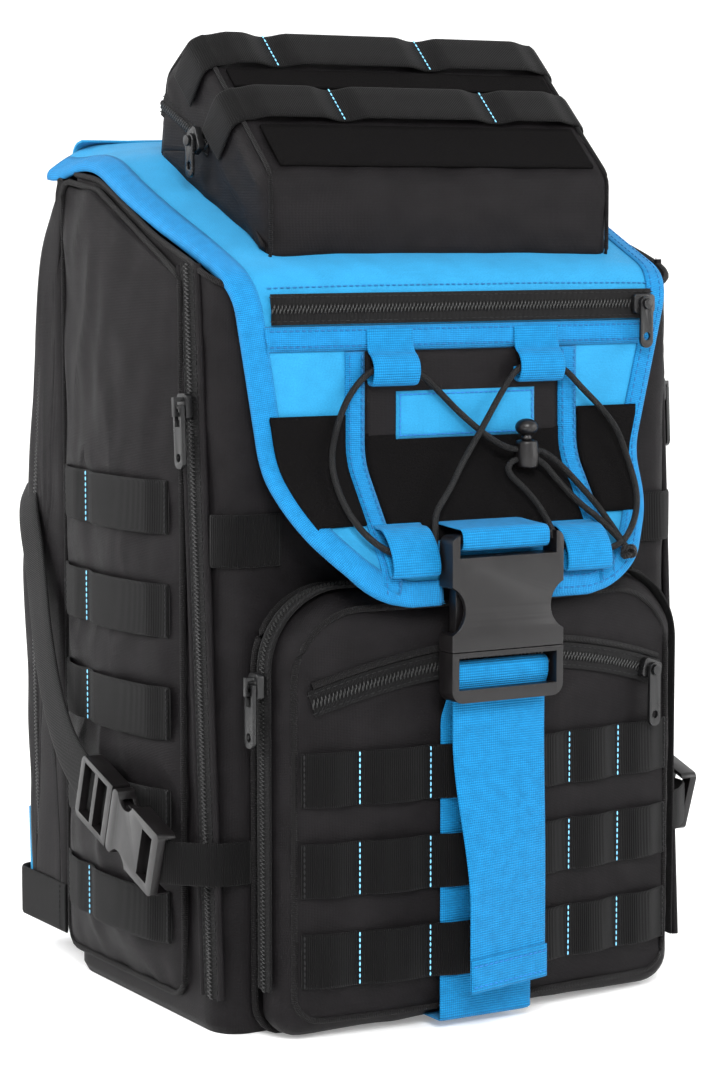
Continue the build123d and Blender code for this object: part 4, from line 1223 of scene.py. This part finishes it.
def cord_loops():
    """The four webbing loops that the elastic cord runs through."""
    for n, (x0, z0, z1) in enumerate(loop_places):
        top, low = float(lid_s(z1)), float(lid_s(z0))
        raise_to = 9.2
        sewn = 12 if z0 > 280 else 4
        line = [(top - sewn, 1.9), (top - 2, 2.4), (top + 1, raise_to - 2), ((top + low) / 2, raise_to),
                (low - 1, raise_to - 2), (low, 5), (low - 1, 2.4), ((top + low) / 2, 2.2)]
        line = smooth_path(line, 3, 1.2)
        middle = np.full(len(line), x0 + 12.5)
        path = lid_spot(middle, line[:, 0], 0) + lid_up(middle, line[:, 0]) * line[:, 1:2]
        blue_strap(f"cord_loop_{n}", path, sideways, 25, 1.3, once(n == 0, "cord_loops"), "lid")


cord_route = [(64, -116, 222), (59, -108, 235), (52, -99.5, 247), (43, -94.5, 258), (34, -93, 264.6),
              (25, -93, 265.2), (15, -92.6, 266), (5, -90, 272), (-8, -87, 283), (-21, -87, 295),
              (-32, -86.5, 304), (-45, -86.5, 307), (-58, -86.5, 303), (-68, -86.5, 292), (-74, -86.5, 278),
              (-78, -88.5, 263), (-79, -99, 248), (-75, -108, 235), (-65, -115.4, 224.4), (-51, -117, 221),
              (-39, -115, 224.2), (-36.5, -111.5, 232), (-34, -107.5, 240), (-23, -102, 249),
              (-11, -94, 261), (1, -91, 275), (12, -89, 290), (23, -86.5, 303), (36, -86.5, 307),
              (50, -86.5, 303), (60, -87, 293), (70, -88, 284), (80, -88.5, 273), (84, -92, 258),
              (82, -103, 243), (74, -112, 231), (62, -118.5, 221), (48, -118.5, 219), (37, -118.3, 219),
              (27, -114.8, 225.5), (25, -107, 238), (19, -101, 248), (13, -95, 255), (16, -93, 260.6),
              (25, -93, 261.2), (33, -93.4, 260.4), (39.5, -98.5, 250), (47, -105, 240), (57, -111.5, 231),
              (64, -119, 220)]
knot_place = (65.5, -119.6, 217.6)


def elastic_cord():
    """The elastic cord, on one smooth curve through the loops and the cord lock, with its knot."""
    data = bpy.data.curves.new("elastic_cord_line", "CURVE")
    data.dimensions = "3D"
    data.resolution_u = 8
    data.bevel_depth = 0.0015
    data.bevel_resolution = 4
    spline = data.splines.new("NURBS")
    spline.points.add(len(cord_route) - 1)
    for point, spot in zip(spline.points, metres(cord_route)):
        point.co = (*spot, 1)
    spline.order_u = 3
    spline.use_endpoint_u = True
    data.materials.append(cord_cover)
    cord = bpy.data.objects.new("elastic_cord_line", data)
    bpy.context.scene.collection.objects.link(cord)
    place_piece(cord, "lid", "elastic", ["elastic_cord"])
    turns = np.linspace(0, 2 * math.pi * 1.6, 46)
    x, y, z = knot_place
    path = np.column_stack([x + np.cos(turns) * 2.6 + np.sin(turns * 2) * 0.8, y + np.sin(turns) * 1.6,
                            z + np.sin(turns * 1.5) * 1.9])
    knot = tube_piece("cord_knot_turns", path, 1.5, cord_cover, 10)
    place_piece(knot, "lid", "elastic", ["cord_knot"])
    tuple(metres(cord_route[0]))


# ---- pouch on the lid ----
slope_along = unit(np.array([0, 73.0, 67.0]))
slope_up = unit(np.array([0, -67.0, 73.0]))


def slope_spot(x, distance, off=0.0):
    """Points on the pouch's sloping top, at a distance up the slope from its front edge."""
    x, distance, off = np.broadcast_arrays(*(np.asarray(v, float) for v in (x, distance, off)))
    start = np.array([0, -61.0, 393.0])
    return start + slope_along * distance[..., None] + slope_up * off[..., None] + x[..., None] * sideways


def top_pouch():
    """The small pouch on the lid, with its seams, webbing rows, loop strips and zip."""
    corners = [(-20, 370), (-61, 350), (-61, 393), (12, 460), (42, 441), (49, 400), (-20, 370)]
    outline = rounded(corners, [4, 10, 12, 12, 4], 3.0)[:-1]

    def folds(spots, normals):
        """Soft creases, and a top that sags a little between its seams."""
        moved = wrinkle(spots, normals, 1.0, 22, 17.0, (1.4, 1, 1)) - normals * 0.8
        on_front = np.clip(-normals[:, 1], 0, 1) * (1 - (spots[:, 0] / 95) ** 2)
        belly = on_front * np.sin(np.clip((spots[:, 2] - 355) / 38, 0, 1) * math.pi) * 3.5
        on_side = np.clip(np.abs(normals[:, 0]), 0, 1) * 2.0
        return moved + normals * (belly + on_side * between(spots[:, 2], 360, 385))[:, None]

    half = 94.5
    body = pillow("top_pouch_cloth", outline, lambda a, b, h: (h, a, b), -half, half, 8.0, black_nylon,
                  folds=folds, rings=8, depth_rows=44)
    place_piece(body, "lid", "black_nylon", ["top_pouch"])
    ring = np.vstack([outline, outline[:1]])
    for side, label in both_sides:
        rim = np.array([(side * 92.6, a * 0.985, (b - 400) * 0.985 + 400) for a, b in ring])
        edge_seam(f"pouch_seam_{label}", rim, 1.0, "lid")
    pouch_rows()
    line = resample(np.array([(-95.0, -6, 406), (-95.0, 41, 427)]), 3.0)
    normals = everywhere([-1.0, 0, 0], line)
    across = over_width(normals, line)
    zip_piece("pouch_zip", line, normals, across, 5.5, "lid", ["pouch_zip_tape"])


def pouch_rows():
    """The webbing rows and the loop strips on the pouch's slope."""
    for n, (start, tacks) in enumerate(((35, (-40, 44)), (73, (-60, 24)))):
        x = np.linspace(-92, 92, 110)
        lift = tacked(x, (-92, *tacks, 92), 1.3, 3.7)
        left = smooth_path([(-97.4, -24), (-97.9, -8), (-97.2, -2), (-92.2, 1.2)], 3, 1.5)
        right = smooth_path([(92.2, 1.2), (97.2, -2), (97.9, -8), (97.4, -16)], 3, 1.5)
        line = np.vstack([left, np.column_stack([x, lift]), right])
        path = slope_spot(line[:, 0], start + 11, line[:, 1])
        black_strap(f"pouch_row_{n}", path, slope_along, 22, 1.5,
                    once(n == 0, "pouch_webbing_rows"), "lid")
        for k, tack_x in enumerate(tacks):
            ends = [slope_spot(tack_x, start + d, 2.3) for d in (1.2, 20.8)]
            bar_tack(f"pouch_tack_{n}_{k}", *ends, slope_up, "lid", "blue_webbing", pale_thread)
    for n, (low, high, half) in enumerate(((5, 32, 86), (59, 71, 88))):
        distance = np.linspace(low, high, 10)
        x = np.linspace(-half, half, 70)
        grid_x, grid_d = np.meshgrid(x, distance)
        strip = grid_piece(f"pouch_loop_strip_{n}", slope_spot(grid_x, grid_d, 1.5), black_pile, thick=1.6)
        place_piece(strip, "lid", "black_cloth_panel", once(n == 0, "pouch_loop_strips"))


# ---- the CAD parts that keep their shape ----
def soften(name, node, finish, slot, body, width):
    """Stands for a moulded or cast CAD part, with its sharp edges rounded."""
    copy = bpy.data.objects.new(name + "_moulded", node.data.copy())
    bpy.context.scene.collection.objects.link(copy)
    weld_distance, flat_angle, sharp_angle = 0.000005, math.radians(3), math.radians(35)
    work = bmesh.new()
    work.from_mesh(copy.data)
    bmesh.ops.remove_doubles(work, verts=work.verts, dist=weld_distance)
    bmesh.ops.dissolve_limit(work, angle_limit=flat_angle, verts=work.verts, edges=work.edges)
    work.to_mesh(copy.data)
    work.free()
    copy.data.materials.clear()
    copy.data.materials.append(finish)
    copy.data.polygons.foreach_set("use_smooth", [True] * len(copy.data.polygons))
    bevel = copy.modifiers.new("rounding", "BEVEL")
    bevel.width = width / 1000
    bevel.segments = 3
    bevel.limit_method = "ANGLE"
    bevel.angle_limit = sharp_angle
    bevel.harden_normals = True
    place_piece(copy, body, slot, [name])


def finish_hard_parts():
    """A finish for every CAD part, and rounded stand-ins for the buckles, adjusters, sliders and pulls."""
    widths = {"front_buckle": 0.9, "side_buckle": 0.5, "sternum": 0.6, "strap_adj": 0.5}
    slider_width = 0.35
    for name, obj in frame["nodes"].items():
        finish, slot = plastic, "black_plastic"
        if "slider" in name or "pull" in name:
            finish, slot = slider_metal, "zip_metal"
        if name == "stiffener_boards":
            finish, slot = board, "stiffener"
        obj.data.materials.clear()
        obj.data.materials.append(finish)
        if slot == "zip_metal" or any(word in name for word in widths) and "loop" not in name:
            width = next((w for word, w in widths.items() if word in name), slider_width)
            soften(name, obj, finish, slot, body_of(obj)[0], width)


def turned(name, profile, x, y, material, sides=32):
    """A round piece about an upright line, from (radius, height) points."""
    turns = np.linspace(0, 2 * math.pi, sides, endpoint=False)
    rings = np.array([[(x + r * math.cos(t), y + r * math.sin(t), z) for t in turns] for r, z in profile])
    return grid_piece(name, rings, material, closed=True)


def cord_lock():
    """The cord lock's barrel, and its round button."""
    x, y = 25, -93
    profile = rounded([(0.05, 256.6), (5.2, 256.6), (5.8, 262), (5.2, 269.8), (3.2, 269.8), (3.2, 268)],
                      [1.6, 6, 1.4, 0.5], 0.4)
    barrel = turned("cord_lock_barrel", profile, x, y, plastic)
    place_piece(barrel, "lid", "black_plastic", ["cord_lock_body"])
    angles = np.linspace(-1.25, math.pi / 2 - 0.02, 16)
    stem = [(0.05, 269.5), (2.4, 269.5), (2.4, 271.5)]
    cap = [(5.4 * math.cos(a), 275.9 + 4.0 * math.sin(a)) for a in angles]
    button = turned("cord_lock_ball", stem + cap, x, y, plastic)
    place_piece(button, "cord_lock_button", "black_plastic", ["cord_lock_button"])


def add_stage():
    """A plain pale floor, an even white sky and three soft lights."""
    world = bpy.data.worlds.new("studio")
    world.use_nodes = True
    sky = world.node_tree.nodes["Background"]
    sky.inputs["Color"].default_value = (1, 1, 1, 1)
    sky.inputs["Strength"].default_value = 0.92
    bpy.context.scene.world = world
    bpy.context.scene.view_settings.view_transform = "Standard"
    profile = rounded([(0.5, -0.2), (5200, -0.2), (5200, 5000)], [2200], 300)
    floor = turned("floor", profile, 0, 0, floor_finish(), 64)
    lamps = (("key", (-900, -2000, 1700), 1.0, 70),
             ("fill", (1600, -1500, 900), 1.2, 24),
             ("rim", (-1800, 700, 1300), 1.0, 40))
    for name, spot, size, power in lamps:
        data = bpy.data.lights.new(name, "AREA")
        data.size = size
        data.energy = power
        light = bpy.data.objects.new(name, data)
        bpy.context.scene.collection.objects.link(light)
        light.location = metres(spot)
        light.rotation_euler = (Vector((0, 0, 0.22)) - light.location).to_track_quat("-Z", "Y").to_euler()


def floor_finish():
    """A plain pale floor with the faintest unevenness."""
    material, nodes, shader = new_material("pale_floor", (0.86, 0.86, 0.86), 0.7)
    shader.inputs["Emission Color"].default_value = (1, 1, 1, 1)
    shader.inputs["Emission Strength"].default_value = 0.22
    place = texture_place(material, nodes, "Object", (1, 1, 1))
    cloud = add_noise(material, nodes, place, 3, 2, 0.5)
    stops = [(0.3, (0.85, 0.85, 0.85)), (0.7, (0.88, 0.88, 0.88))]
    wire(material, add_ramp(material, nodes, cloud, stops), shader.inputs["Base Color"])
    return material


finish_hard_parts()
elastic_cord()
cord_lock()
main_shell()
rear_compartment()
side_panels()
side_zips()
front_pocket()
front_rows()
closing_strap()
compression_straps()
strap_anchors()
back_panel()
shoulder_pads()
harness_webbing()
lid_hinge()
lid_cloth()
lid_binding()
lid_front()
top_pouch()
add_stage()
